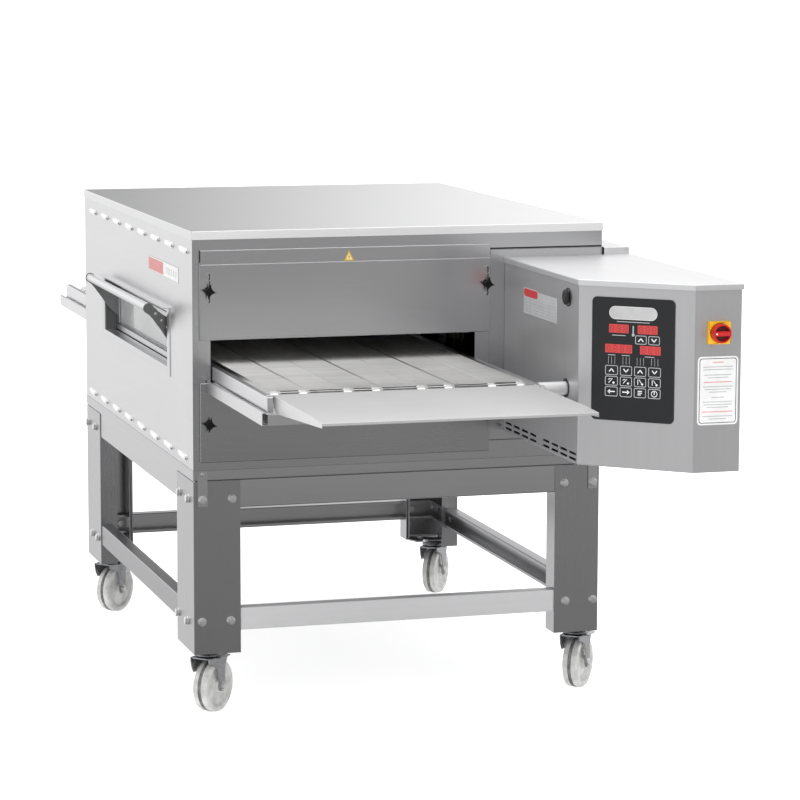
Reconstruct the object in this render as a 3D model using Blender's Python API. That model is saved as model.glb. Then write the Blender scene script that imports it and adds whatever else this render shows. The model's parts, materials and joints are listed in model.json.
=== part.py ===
"""Conveyor pizza oven on a castor stand, one named solid for every separate piece.

Lengths in the construction below are millimetres measured from the front left top corner
of the oven body: X to the right, Y to the back, Z up (so most heights are negative).
world() turns them into metres with the floor at Z = 0 and the whole machine centred.
"""
import math

import bmesh
import bpy
import numpy as np
from mathutils import Vector
from mathutils.geometry import tessellate_polygon

# ---------------------------------------------------------------- driving dimensions (mm)
BODY_W = 1000.0
BODY_D = 1308.0
BODY_BOTTOM = -557.0
FLOOR = -1143.0
CENTRE_X = 509.0
CENTRE_Y = 480.5
GAP = 0.3
LAP = 0.5
CUT = 1.0
SHEET = 1.5
PLATE = 2.0

ROOF_LIP = 20.0
ROOF_OVER_X = 2.0
ROOF_OVER_Y = 3.0

OPEN_X0 = 42.4
OPEN_X1 = 683.3
OPEN_TOP = -200.0
OPEN_BOTTOM = -356.0
SERVICE_X0 = 719.0
SERVICE_TOP = -58.0
SERVICE_BOTTOM = -514.5
SERVICE_DEEP = 14.0
BASE_BOTTOM = -581.0

COVER_X0 = 16.0
COVER_X1 = 719.5 - GAP
COVER_MID_X = 360.0
COVER_DEEP = 5.0
COVER_GAP = 0.5
UPPER_COVER_TOP = -72.0
UPPER_COVER_BOTTOM = -253.0
LOWER_COVER_TOP = -352.0
LOWER_COVER_BOTTOM = -538.6
HOOD_X = (18.0, 717.0)
HOOD_Y = -7.6
HOOD_TOP = -44.0
HOOD_BOTTOM = -78.5
KNOB_X = (37.4, 711.0)
UPPER_KNOB_Z = -138.7
LOWER_KNOB_Z = -448.9
KNOB_R = 16.0
KNOB_FRONT = -22.0
KNOB_BACK = -12.0
KNOB_STEPS = 32
NECK_R = 6.0
STUD_R = 3.0
STUD_END = 9.0
SLOT_UP = 43.0
SLOT_DOWN = 28.0

DOOR_Y0 = 271.0
DOOR_Y1 = 1037.0
DOOR_TOP = -213.0
DOOR_BOTTOM = -347.0
JAMB_DEEP = 28.0
BROW_OUT = 15.0
LOUVRE_ROWS = ((-50.5, 50.0), (-536.5, 73.0))
LOUVRE_COUNT = 8
LOUVRE_PITCH = 157.3
LOUVRE_LONG = 45.0
LOUVRE_MOUTH = (7.0, 7.0)
LOUVRE_TAIL = (1.5, 5.0)
LOUVRE_STEPS = 6
LOUVRE_ROOT = 0.6
SURROUND_Y0 = 240.0
SURROUND_Y1 = 1068.0
SURROUND_TOP = -203.0
SURROUND_BOTTOM = -368.0
LEAF_X0 = 30.0
LEAF_X1 = 41.5
HINGE_X = 31.5
HINGE_Z = -343.6
HANDLE_X = -43.5
HANDLE_Z = -207.5
HANDLE_R = 10.0
HANDLE_Y = (282.0, 1016.0)
REBATE_X = 37.0
PANE_T = 3.5
ARM_T = 3.0
ARM_HEAD_R = 12.5
ARM_ARC = (15, 225)
ARM_LOWER_EDGE = [(-41.0, -224.0), (-26.0, -243.0), (-12.5, -261.0), (-3.5, -275.5),
                  (3.0, -285.0), (16.0, -298.0)]
ARM_ROOT = (-309.0, -236.0)
ARM_UPPER_EDGE = [(10.0, -233.0), (0.0, -228.5), (-8.0, -223.5), (-20.0, -214.5),
                  (-27.5, -206.0)]

RAIL_X0 = 45.0
RAIL_X1 = 681.0
RAIL_W = 13.0
RAIL_TOP = -313.0
RAIL_BOTTOM = -348.0
CONVEYOR_FRONT = -527.0
CONVEYOR_REAR = 1843.0
BELT_X0 = 69.5
BELT_X1 = 656.5
SHAFT_Z = -330.0
BELT_R = 20.0
BELT_T = 1.6
DRIVE_Y = -442.0
IDLER_Y = 1758.0
SPROCKET_X = (80.6, 146.2, 246.8, 312.4, 415.6, 478.3, 579.9, 646.5)
SPROCKET_W = 12.0
SPROCKET_TEETH = 8
TOOTH_H = 2.5
BELT_STEPS = 10
DRIVE_X = (48.0, 850.0)
IDLER_X = (48.0, 678.0)
SHAFT_R = 10.0

TRAY_X0 = 63.0
TRAY_X1 = 663.0
TRAY_REAR = -501.0
TRAY_FRONT = -912.0
TRAY_Z = -312.0
TRAY_NOSE = 85.0
TRAY_NOSE_TOP = -315.0
TRAY_NOSE_LOW = -324.5
TRAY_BELLY = (-535.0, -348.6)
HOOK_Y = (-521.0, -505.0)
PAN_X0 = 32.0
PAN_BOTTOM = -374.0
PAN_TOP = -351.5
PAN_LIP_TOP = -346.5
PAN_LIP_W = 6.0

BOX_PLAN = ((756.0, -0.3), (756.0, -522.0), (961.5, -700.0), (1070.0, -700.0), (1070.0, -0.3))
BOX_TOP = -79.0
BOX_BOTTOM = -491.6
LID_TOP = -77.0
LID_SKIRT = 13.0
LID_PLAN = [(754.0, -0.3), (754.0, -523.0), (960.7, -702.0), (1074.0, -702.0), (1074.0, -0.3)]
LID_HOLLOW = [(755.5, 5.0), (755.5, -522.3), (961.2, -700.5), (1072.5, -700.5), (1072.5, 5.0)]
VENT_ROWS = (-470.0, -482.5)
VENT_STARTS = (-17.0, -288.0)
VENT_COUNT = 4
VENT_PITCH = 60.0
VENT_LONG = 45.0
VENT_H = 5.4
SHAFT_HOLE_R = 19.5
RESET_AT = (-452.0, -124.0)
RESET_R = 9.5
FILM_T = 1.2
FILM = (33.0, 224.0, -385.0, -114.0)
FILM_CORNER_R = 10.0
ISOLATOR_AT = (1015.0, -182.5)
DIAL_R = 21.0

HOUSING_X0 = 1006.0
HOUSING_X1 = 1070.0
HOUSING_TOP = -60.0
HOUSING_BOTTOM = -520.0

STAND_TOP = -581.3
LEG_TOP = -584.0
LEG_BOTTOM = -993.0
LEG_W = 112.0
LEG_D = 180.0
LEG_LIP = 60.0
LEG_RETURN = 45.0
LIP_RETURN = 10.0
FOOT_EDGE = 0.5
FOOT_D = 100.0
FOOT_CORNER_X = 94.0
FOOT_T = 4.0
TOP_RAIL_H = 66.7
LOW_RAIL_TOP = -886.0
LOW_RAIL_BOTTOM = -940.0
RAIL_FLANGE = 32.0
RAIL_HEM = 8.0

WHEEL_R = 62.5
WHEEL_W = 36.0
HUB_R = 16.0
RIM_R = 49.0
AXLE_R = 6.0
FORK_T = 3.0
HEAD_R = 27.0
HEAD_H = 12.0
CROWN_BACK = 34.0
CROWN_FRONT = 46.0
TRAIL = 22.0
CASTORS = (("front_left", 42.0, 42.0, 45.0), ("front_right", 958.0, 42.0, 50.0),
           ("rear_left", 42.0, 1220.0, 43.0), ("rear_right", 958.0, 1220.0, 53.0))

LINER_INSET = 16.0
LINER_X1 = 862.0
LINER_BOTTOM = -530.0
LINER_TOP = -90.0
DUCT_X = (60.0, 745.0)
DUCT_Y = (80.0, 1228.0)
UPPER_DUCT_Z = (-236.0, -120.0)
LOWER_DUCT_Z = (-480.0, -364.0)
NOZZLE_X = (80.0, 650.0)
NOZZLE_FIRST = 120.0
NOZZLE_PITCH = 132.0
NOZZLE_W = 16.0
NOZZLE_COUNT = 9
NOZZLE_REACH = (-4.0, 2.0)

FAN_Y = 654.0
FAN_Z = -300.0
FAN_R = 142.0
FAN_EYE_R = 95.0
FAN_FRONT = 773.0
FAN_BACK = 823.0
BLADE_R = (80.0, 138.0)
BLADE_T = 2.0
BLADE_COUNT = 12
FAN_SHAFT_R = 8.0
MOTOR_R = 62.0
MOTOR_X = (876.0, 990.0)
MOTOR_FLANGE = 75.0
COIL_R = 172.0
COIL_X = (776.0, 804.0)
COIL_ROD_R = 4.0
COIL_STEPS = 36
COIL_STEP_ANGLE = 20.0

STEEL = ((0.62, 0.62, 0.63), 0.32, 1.0)
PALE_STEEL = ((0.72, 0.72, 0.73), 0.28, 1.0)
DARK_STEEL = ((0.34, 0.34, 0.35), 0.45, 1.0)
ZINC = ((0.55, 0.56, 0.58), 0.4, 1.0)
BLACK = ((0.02, 0.02, 0.022), 0.4, 0.0)
WHITE = ((0.85, 0.85, 0.83), 0.45, 0.0)
RED = ((0.7, 0.02, 0.02), 0.35, 0.0)
YELLOW = ((0.95, 0.62, 0.02), 0.4, 0.0)
GREY_PAINT = ((0.12, 0.13, 0.15), 0.5, 0.0)
GLASS = ((0.55, 0.6, 0.6), 0.05, 0.0)

for old in list(bpy.data.objects):
    bpy.data.objects.remove(old)


# ---------------------------------------------------------------- solids as (vertices, faces)
def world(p):
    """Construction millimetres to metres in the machine frame."""
    return ((p[0] - CENTRE_X) * 0.001, (p[1] - CENTRE_Y) * 0.001, (p[2] - FLOOR) * 0.001)


def place(axis, a, u, v):
    """Point at distance a along the named axis and (u, v) in the other two."""
    if axis == "X":
        return (a, u, v)
    if axis == "Y":
        return (u, a, v)
    return (u, v, a)


def box(x0, x1, y0, y1, z0, z1):
    verts = [(x, y, z) for x in (x0, x1) for y in (y0, y1) for z in (z0, z1)]
    faces = [(0, 1, 3, 2), (4, 6, 7, 5), (0, 4, 5, 1), (2, 3, 7, 6), (0, 2, 6, 4), (1, 5, 7, 3)]
    return verts, faces


def prism(outline, axis, a0, a1, holes=()):
    """Straight prism from a flat outline, with straight through holes."""
    loops = [list(outline)] + [list(h) for h in holes]
    flat = [p for loop in loops for p in loop]
    n = len(flat)
    verts = [place(axis, a0, u, v) for u, v in flat]
    verts += [place(axis, a1, u, v) for u, v in flat]
    faces = []
    start = 0
    for loop in loops:
        m = len(loop)
        for i in range(m):
            j = (i + 1) % m
            faces.append((start + i, start + j, n + start + j, n + start + i))
        start += m
    if holes:
        caps = tessellate_polygon([[Vector((u, v, 0.0)) for u, v in loop] for loop in loops])
    else:
        caps = [tuple(range(n))]
    for cap in caps:
        faces.append(tuple(cap))
        faces.append(tuple(n + i for i in cap))
    return verts, faces


def circle(u, v, r, n=32, turn=0.0):
    step = 2.0 * math.pi / n
    return [(u + r * math.cos(turn + step * i), v + r * math.sin(turn + step * i))
            for i in range(n)]


def rect(u0, u1, v0, v1):
    return [(u0, v0), (u1, v0), (u1, v1), (u0, v1)]


def round_rect(u0, u1, v0, v1, r, n=6):
    """Rectangle with round corners; n steps to a quarter turn."""
    pts = []
    corners = ((u1 - r, v1 - r, 0.0), (u0 + r, v1 - r, 90.0),
               (u0 + r, v0 + r, 180.0), (u1 - r, v0 + r, 270.0))
    for cu, cv, start in corners:
        for i in range(n + 1):
            a = math.radians(start + 90.0 * i / n)
            pts.append((cu + r * math.cos(a), cv + r * math.sin(a)))
    return pts


def rod(axis, u, v, r, a0, a1, n=32):
    return prism(circle(u, v, r, n), axis, a0, a1)


def pipe(axis, u, v, r_out, r_in, a0, a1, n=32):
    return prism(circle(u, v, r_out, n), axis, a0, a1, [circle(u, v, r_in, n)])


def turned(profile, axis, u, v, n=48):
    """Ring turned about an axis; profile is a closed loop of (radius, distance along)."""
    verts = []
    for i in range(n):
        a = 2.0 * math.pi * i / n
        verts += [place(axis, d, u + r * math.cos(a), v + r * math.sin(a)) for r, d in profile]
    m = len(profile)
    faces = []
    for i in range(n):
        for k in range(m):
            j = (i + 1) % n
            t = (k + 1) % m
            faces.append((i * m + k, i * m + t, j * m + t, j * m + k))
    return verts, faces


def around(profile, x0, x1, y0, y1):
    """Closed (inset, z) profile carried round a rectangle with mitred corners."""
    m = len(profile)
    verts = []
    for cx, cy, sx, sy in ((x0, y0, 1, 1), (x1, y0, -1, 1), (x1, y1, -1, -1), (x0, y1, 1, -1)):
        verts += [(cx + sx * d, cy + sy * d, z) for d, z in profile]
    faces = []
    for i in range(4):
        for k in range(m):
            j = (i + 1) % 4
            t = (k + 1) % m
            faces.append((i * m + k, i * m + t, j * m + t, j * m + k))
    return verts, faces


def tube_along(points, r, n=8):
    """Round bar with flat ends following a list of points."""
    pts = [Vector(p) for p in points]
    verts = []
    side = None
    for i, p in enumerate(pts):
        ahead = pts[min(i + 1, len(pts) - 1)] - pts[max(i - 1, 0)]
        ahead.normalize()
        if side is None:
            side = ahead.orthogonal().normalized()
        side = (side - ahead * side.dot(ahead)).normalized()
        other = ahead.cross(side)
        for k in range(n):
            a = 2.0 * math.pi * k / n
            verts.append(tuple(p + side * (r * math.cos(a)) + other * (r * math.sin(a))))
    faces = [tuple(range(n)), tuple((len(pts) - 1) * n + k for k in range(n))]
    for i in range(len(pts) - 1):
        for k in range(n):
            t = (k + 1) % n
            faces.append((i * n + k, i * n + t, (i + 1) * n + t, (i + 1) * n + k))
    return verts, faces


def mirrored_x(solid, about):
    return [(2.0 * about - x, y, z) for x, y, z in solid[0]], solid[1]


def mirrored_y(solid, about=BODY_D / 2.0):
    return [(x, 2.0 * about - y, z) for x, y, z in solid[0]], solid[1]


def turned_z(solid, cx, cy, degrees):
    c = math.cos(math.radians(degrees))
    s = math.sin(math.radians(degrees))
    return [(cx + (x - cx) * c - (y - cy) * s, cy + (x - cx) * s + (y - cy) * c, z)
            for x, y, z in solid[0]], solid[1]


def group(solids):
    """Several separate solids in one list, for cutting or joining in one step."""
    verts = []
    faces = []
    for v, f in solids:
        start = len(verts)
        verts += v
        faces += [tuple(start + i for i in face) for face in f]
    return verts, faces


def as_object(name, solid):
    mesh = bpy.data.meshes.new(name)
    mesh.from_pydata([Vector(p) for p in solid[0]], [], solid[1])
    bm = bmesh.new()
    bm.from_mesh(mesh)
    bmesh.ops.recalc_face_normals(bm, faces=bm.faces)
    bm.to_mesh(mesh)
    bm.free()
    obj = bpy.data.objects.new(name, mesh)
    bpy.context.scene.collection.objects.link(obj)
    return obj


def combine(base, other, operation):
    """Exact Boolean of two solids, handed back as a solid."""
    a = as_object("base", base)
    b = as_object("tool", other)
    mod = a.modifiers.new("join", "BOOLEAN")
    mod.operation = operation
    mod.solver = "EXACT"
    mod.object = b
    graph = bpy.context.evaluated_depsgraph_get()
    done = a.evaluated_get(graph).to_mesh()
    verts = [tuple(v.co) for v in done.vertices]
    faces = [tuple(p.vertices) for p in done.polygons]
    for obj in (a, b):
        mesh = obj.data
        bpy.data.objects.remove(obj)
        bpy.data.meshes.remove(mesh)
    return verts, faces


def cut(base, *tools):
    return combine(base, group(tools), "DIFFERENCE")


def fuse(base, *others):
    for other in others:
        base = combine(base, other, "UNION")
    return base


def node(name, solid, finish, pivot=None, smooth=False):
    """Named piece of the machine; pivot is the point its own motion turns about."""
    origin = Vector(world(pivot)) if pivot else Vector((0.0, 0.0, 0.0))
    shifted = [tuple(Vector(world(p)) - origin) for p in solid[0]], solid[1]
    obj = as_object(name, shifted)
    obj.location = origin
    colour, rough, metal = finish
    mat = bpy.data.materials.new("mat_" + name)
    mat.use_nodes = True
    shader = mat.node_tree.nodes["Principled BSDF"]
    shader.inputs["Base Color"].default_value = (*colour, 1.0)
    shader.inputs["Roughness"].default_value = rough
    shader.inputs["Metallic"].default_value = metal
    obj.data.materials.append(mat)
    if smooth:
        for poly in obj.data.polygons:
            poly.use_smooth = True
        obj.data.set_sharp_from_angle(angle=math.radians(35.0))
    return obj


def tray_shape(x0, x1, y0, y1, z0, z1, t, open_top=True):
    """Five walled sheet box, open at the top or at the bottom."""
    inner_z = (z0 + t, z1 + 1.0) if open_top else (z0 - 1.0, z1 - t)
    return cut(box(x0, x1, y0, y1, z0, z1), box(x0 + t, x1 - t, y0 + t, y1 - t, *inner_z))


def inset(poly, d):
    """Convex outline moved inwards by d (outwards when d is negative)."""
    n = len(poly)
    area = sum(poly[i][0] * poly[(i + 1) % n][1] - poly[(i + 1) % n][0] * poly[i][1]
               for i in range(n))
    sign = 1.0 if area > 0 else -1.0
    lines = []
    for i in range(n):
        p = np.array(poly[i])
        q = np.array(poly[(i + 1) % n])
        t = (q - p) / np.linalg.norm(q - p)
        normal = np.array((-t[1], t[0])) * sign
        lines.append((p + normal * d, t))
    out = []
    for i in range(n):
        p, t = lines[i - 1]
        q, s = lines[i]
        k = np.linalg.solve(np.array((t, -s)).T, q - p)[0]
        out.append(tuple(float(c) for c in p + t * k))
    return out


# ---------------------------------------------------------------- body panels
def louvre(y, row_z):
    """Half round vent bulge of the left panel, open mouth at y and tapering to the back."""
    ends = []
    for (out, half), end_y in ((LOUVRE_MOUTH, y), (LOUVRE_TAIL, y + LOUVRE_LONG)):
        arc = [math.pi * k / LOUVRE_STEPS for k in range(LOUVRE_STEPS + 1)]
        loop = [(-out * math.sin(a), end_y, row_z + half * math.cos(a)) for a in arc]
        ends.append(loop + [(LOUVRE_ROOT, end_y, row_z - half), (LOUVRE_ROOT, end_y, row_z + half)])
    n = len(ends[0])
    faces = [tuple(range(n)), tuple(range(n, 2 * n))]
    faces += [(k, (k + 1) % n, n + (k + 1) % n, n + k) for k in range(n)]
    return ends[0] + ends[1], faces


def make_body():
    roof = tray_shape(-ROOF_OVER_X, BODY_W + ROOF_OVER_X, -ROOF_OVER_Y, BODY_D + ROOF_OVER_Y,
                      -ROOF_LIP, 0.0, SHEET, open_top=False)
    node("roof_panel", roof, PALE_STEEL)

    outline = rect(0.0, BODY_D, BODY_BOTTOM, -ROOF_LIP - GAP)
    window = rect(DOOR_Y0, DOOR_Y1, DOOR_BOTTOM, DOOR_TOP)
    left = prism(outline, "X", 0.0, SHEET, [window])
    raised = prism(rect(SURROUND_Y0, SURROUND_Y1, SURROUND_BOTTOM, SURROUND_TOP), "X",
                   -SHEET, SHEET, [window])
    jamb = prism(rect(DOOR_Y0 - SHEET, DOOR_Y1 + SHEET, DOOR_BOTTOM - SHEET, DOOR_TOP + SHEET),
                 "X", 0.0, JAMB_DEEP, [window])
    brow = box(-BROW_OUT, LAP, SURROUND_Y0, SURROUND_Y1, SURROUND_TOP - SHEET, SURROUND_TOP)
    left = fuse(left, raised, jamb, brow)
    louvres = [louvre(first + LOUVRE_PITCH * i, row_z) for row_z, first in LOUVRE_ROWS
               for i in range(LOUVRE_COUNT)]
    left = fuse(left, group(louvres))
    node("left_side_panel", left, PALE_STEEL)

    right = box(BODY_W - SHEET, BODY_W, 0.0, BODY_D, BODY_BOTTOM, -ROOF_LIP - GAP)
    node("right_side_panel", right, STEEL)

    x0 = SHEET + GAP
    x1 = BODY_W - SHEET - GAP
    edge = [(x0, BODY_BOTTOM), (x1, BODY_BOTTOM), (x1, SERVICE_BOTTOM),
            (SERVICE_X0, SERVICE_BOTTOM), (SERVICE_X0, SERVICE_TOP), (x1, SERVICE_TOP),
            (x1, -ROOF_LIP - GAP), (x0, -ROOF_LIP - GAP)]
    stud_holes = [circle(x, z, STUD_R + CUT, 16)
                  for x in KNOB_X for z in (UPPER_KNOB_Z, LOWER_KNOB_Z)]
    tunnel = rect(OPEN_X0, OPEN_X1, OPEN_BOTTOM, OPEN_TOP)
    node("front_frame", prism(edge, "Y", 0.0, PLATE, [tunnel] + stud_holes), STEEL)
    service = cut(box(SERVICE_X0 + GAP, x1, 0.0, SERVICE_DEEP, SERVICE_BOTTOM + GAP,
                      SERVICE_TOP - GAP),
                  box(SERVICE_X0 + GAP + SHEET, x1 - SHEET, SHEET, SERVICE_DEEP + CUT,
                      SERVICE_BOTTOM + GAP + SHEET, SERVICE_TOP - GAP - SHEET))
    node("front_service_panel", service, STEEL)
    back = rect(x0, x1, BODY_BOTTOM, -ROOF_LIP - GAP)
    node("rear_frame", prism(back, "Y", BODY_D - PLATE, BODY_D, [tunnel]), STEEL)

    base = tray_shape(-1.0, BODY_W + 1.0, -1.0, BODY_D + 1.0, BASE_BOTTOM,
                      BODY_BOTTOM - GAP, SHEET)
    node("base_pan", base, STEEL)


# ---------------------------------------------------------------- inside the cooking chamber
def air_duct(z_span, nozzle_z):
    """Flat box of blown air, open to the fan and slotted towards the belt."""
    body = box(*DUCT_X, *DUCT_Y, *z_span)
    hollow = box(DUCT_X[0] + SHEET, DUCT_X[1] + CUT, DUCT_Y[0] + SHEET, DUCT_Y[1] - SHEET,
                 z_span[0] + SHEET, z_span[1] - SHEET)
    slots = []
    for i in range(NOZZLE_COUNT):
        y = NOZZLE_FIRST + NOZZLE_PITCH * i
        slots.append(box(*NOZZLE_X, y, y + NOZZLE_W, *nozzle_z))
    return cut(cut(body, hollow), *slots)


def fan_wheel():
    """Radial fan: back plate with its boss and shaft, straight blades, inlet ring."""
    half = BLADE_T / 2.0
    r0, r1 = BLADE_R
    blades = []
    for i in range(BLADE_COUNT):
        a = 2.0 * math.pi * i / BLADE_COUNT
        c = math.cos(a)
        s = math.sin(a)
        corners = [(r * c - t * s, r * s + t * c)
                   for r, t in ((r0, -half), (r1, -half), (r1, half), (r0, half))]
        blades.append(prism([(FAN_Y + u, FAN_Z + v) for u, v in corners], "X",
                            FAN_FRONT + BLADE_T, FAN_BACK - 1.0))
    return fuse(rod("X", FAN_Y, FAN_Z, FAN_R, FAN_BACK - 3.0, FAN_BACK, 24),
                rod("X", FAN_Y, FAN_Z, 22.0, FAN_BACK - 33.0, FAN_BACK + 1.0, 16),
                rod("X", FAN_Y, FAN_Z, FAN_SHAFT_R, FAN_BACK - 1.0, MOTOR_X[0] - 2.0, 12),
                group(blades),
                pipe("X", FAN_Y, FAN_Z, FAN_R, FAN_EYE_R, FAN_FRONT, FAN_FRONT + 3.0, 24))


def heater_coil():
    """Two turns of tubular heater round the fan, with its ends led to the terminals."""
    coil = []
    for i in range(COIL_STEPS + 1):
        a = math.radians(COIL_STEP_ANGLE * i - 90.0)
        x = COIL_X[0] + (COIL_X[1] - COIL_X[0]) * i / COIL_STEPS
        coil.append((x, FAN_Y + COIL_R * math.cos(a), FAN_Z + COIL_R * math.sin(a)))
    low = FAN_Z - COIL_R
    lead = [(LINER_X1 - 7.0, FAN_Y - 10.0, low), (COIL_X[0] + 14.0, FAN_Y - 8.0, low)]
    return tube_along(lead + coil[1:], COIL_ROD_R, 6)


def make_inside():
    x0 = OPEN_X0 - 0.2
    x1 = LINER_X1
    wall = 5.0
    shell = prism(rect(x0, x1, LINER_BOTTOM, LINER_TOP), "Y", LINER_INSET, BODY_D - LINER_INSET,
                  [rect(x0 + SHEET, x1 - SHEET, LINER_BOTTOM + SHEET, LINER_TOP - SHEET)])
    shell = cut(shell, box(x0 - wall, x0 + wall, DOOR_Y0 + 8.0, DOOR_Y1 - 8.0,
                           DOOR_BOTTOM - 1.0, DOOR_TOP - 5.0),
                rod("X", FAN_Y, FAN_Z, FAN_SHAFT_R + 6.0, x1 - wall, x1 + wall))
    node("chamber_liner", shell, DARK_STEEL)

    near, far = NOZZLE_REACH
    upper_face = UPPER_DUCT_Z[0]
    lower_face = LOWER_DUCT_Z[1]
    node("upper_air_duct", air_duct(UPPER_DUCT_Z, (upper_face + near, upper_face + far)),
         DARK_STEEL)
    node("lower_air_duct", air_duct(LOWER_DUCT_Z, (lower_face - far, lower_face - near)),
         DARK_STEEL)

    node("fan_impeller", fan_wheel(), DARK_STEEL, pivot=(800.0, FAN_Y, FAN_Z), smooth=True)

    half = MOTOR_FLANGE
    motor = fuse(rod("X", FAN_Y, FAN_Z, MOTOR_R, *MOTOR_X, 24),
                 box(MOTOR_X[0] - 12.0, MOTOR_X[0] + 2.0, FAN_Y - half, FAN_Y + half,
                     FAN_Z - half, FAN_Z + half),
                 box(890.0, 960.0, FAN_Y - 35.0, FAN_Y + 35.0, FAN_Z + 50.0, FAN_Z + 95.0))
    motor = cut(motor, rod("X", FAN_Y, FAN_Z, FAN_SHAFT_R + 1.0, MOTOR_X[0] - 16.0,
                           MOTOR_X[0] + 6.0))
    node("fan_motor", motor, GREY_PAINT, smooth=True)

    node("heating_element", heater_coil(), DARK_STEEL, smooth=True)


# ---------------------------------------------------------------- covers and their knobs
def cover_shape(z_low, z_high, holes):
    """Shallow sheet cover with short edges turned back towards the oven."""
    back = -COVER_GAP
    front = back - COVER_DEEP
    shape = cut(box(COVER_X0, COVER_X1, front, back, z_low, z_high),
                box(COVER_X0 + SHEET, COVER_X1 - SHEET, front + SHEET, CUT,
                    z_low + SHEET, z_high - SHEET))
    return cut(shape, *[prism(h, "Y", front - CUT, CUT) for h in holes])


def star_knob(x, z):
    """Four lobed clamping knob with its threaded stud."""
    lobes = []
    for i in range(KNOB_STEPS):
        a = 2.0 * math.pi * i / KNOB_STEPS
        r = KNOB_R * (0.70 + 0.30 * math.cos(4.0 * a))
        lobes.append((x + r * math.cos(a), z + r * math.sin(a)))
    head = prism(lobes, "Y", KNOB_FRONT, KNOB_BACK)
    neck = rod("Y", x, z, NECK_R, KNOB_BACK - CUT, -COVER_GAP - COVER_DEEP - 0.4, 12)
    stud = rod("Y", x, z, STUD_R, -7.0, STUD_END, 8)
    return fuse(head, neck, stud)


def make_covers():
    fascia = fuse(box(*HOOD_X, HOOD_Y, HOOD_Y + SHEET, HOOD_BOTTOM, HOOD_TOP),
                  box(*HOOD_X, HOOD_Y, -GAP, HOOD_TOP - SHEET, HOOD_TOP))
    node("front_hood_strip", fascia, STEEL)
    slots = [round_rect(x - STUD_R - 0.6, x + STUD_R + 0.6, UPPER_KNOB_Z - SLOT_DOWN,
                        UPPER_KNOB_Z + SLOT_UP, STUD_R + 0.5, 4) for x in KNOB_X]
    upper = cover_shape(UPPER_COVER_BOTTOM, UPPER_COVER_TOP, slots)
    holes = [circle(x, LOWER_KNOB_Z, STUD_R + 0.6, 16) for x in KNOB_X]
    lower = cover_shape(LOWER_COVER_BOTTOM, LOWER_COVER_TOP, holes)
    node("front_upper_cover", upper, STEEL, pivot=(COVER_MID_X, 0.0, UPPER_COVER_BOTTOM))
    node("front_lower_cover", lower, STEEL)
    node("rear_upper_cover", mirrored_y(upper), STEEL,
         pivot=(COVER_MID_X, BODY_D, UPPER_COVER_BOTTOM))
    node("rear_lower_cover", mirrored_y(lower), STEEL)
    for row, z in (("upper", UPPER_KNOB_Z), ("lower", LOWER_KNOB_Z)):
        for side, x in (("left", KNOB_X[0]), ("right", KNOB_X[1])):
            node("%s_%s_clamp_knob" % (row, side), star_knob(x, z), BLACK,
                 pivot=(x, KNOB_BACK, z), smooth=True)


# ---------------------------------------------------------------- side door
def make_door():
    leaf = prism(rect(DOOR_Y0 + 2.0, DOOR_Y1 - 2.0, DOOR_BOTTOM + 1.5, DOOR_TOP - 5.0), "X",
                 LEAF_X0, LEAF_X1,
                 [rect(DOOR_Y0 + 22.0, DOOR_Y1 - 22.0, DOOR_BOTTOM + 18.0, DOOR_TOP - 20.0)])
    pivot = (HINGE_X, FAN_Y, HINGE_Z)
    seat = (DOOR_Y0 + 15.0, DOOR_Y1 - 15.0, DOOR_BOTTOM + 12.0, DOOR_TOP - 13.0)
    rebate = box(REBATE_X, LEAF_X1 + CUT, *seat)
    node("side_door", cut(leaf, rebate), STEEL, pivot=pivot)
    pane = box(REBATE_X + GAP, REBATE_X + GAP + PANE_T, seat[0] + LAP, seat[1] - LAP,
               seat[2] + LAP, seat[3] - LAP)
    node("door_glass", pane, GLASS, pivot=pivot)

    head = []
    for a in range(ARM_ARC[0], ARM_ARC[1] + 1, 15):
        head.append((HANDLE_X + ARM_HEAD_R * math.cos(math.radians(a)),
                     HANDLE_Z + ARM_HEAD_R * math.sin(math.radians(a))))
    root_x = LEAF_X0 - GAP
    arm = head + ARM_LOWER_EDGE + [(root_x, ARM_ROOT[0]), (root_x, ARM_ROOT[1])] + ARM_UPPER_EDGE
    near, far = HANDLE_Y
    handle = fuse(rod("Y", HANDLE_X, HANDLE_Z, HANDLE_R, near + 2.0, far - 2.0, 24),
                  prism(arm, "Y", near, near + ARM_T), prism(arm, "Y", far - ARM_T, far))
    node("door_handle", handle, PALE_STEEL, pivot=pivot, smooth=True)


# ---------------------------------------------------------------- conveyor
def sprocket(x, y):
    """Eight toothed wheel on a shaft at the height of the belt."""
    teeth = []
    for i in range(2 * SPROCKET_TEETH):
        r = BELT_R - BELT_T - LAP - (TOOTH_H if i % 2 else 0.0)
        a = math.pi * i / SPROCKET_TEETH
        teeth.append((y + r * math.cos(a), SHAFT_Z + r * math.sin(a)))
    return prism(teeth, "X", x - SPROCKET_W / 2.0, x + SPROCKET_W / 2.0)


def belt_arc(y, r, start):
    """Half turn of the belt about the shaft at y, starting at an angle in degrees."""
    arc = [math.radians(start + 180.0 * i / BELT_STEPS) for i in range(BELT_STEPS + 1)]
    return [(y + r * math.cos(a), SHAFT_Z + r * math.sin(a)) for a in arc]


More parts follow.
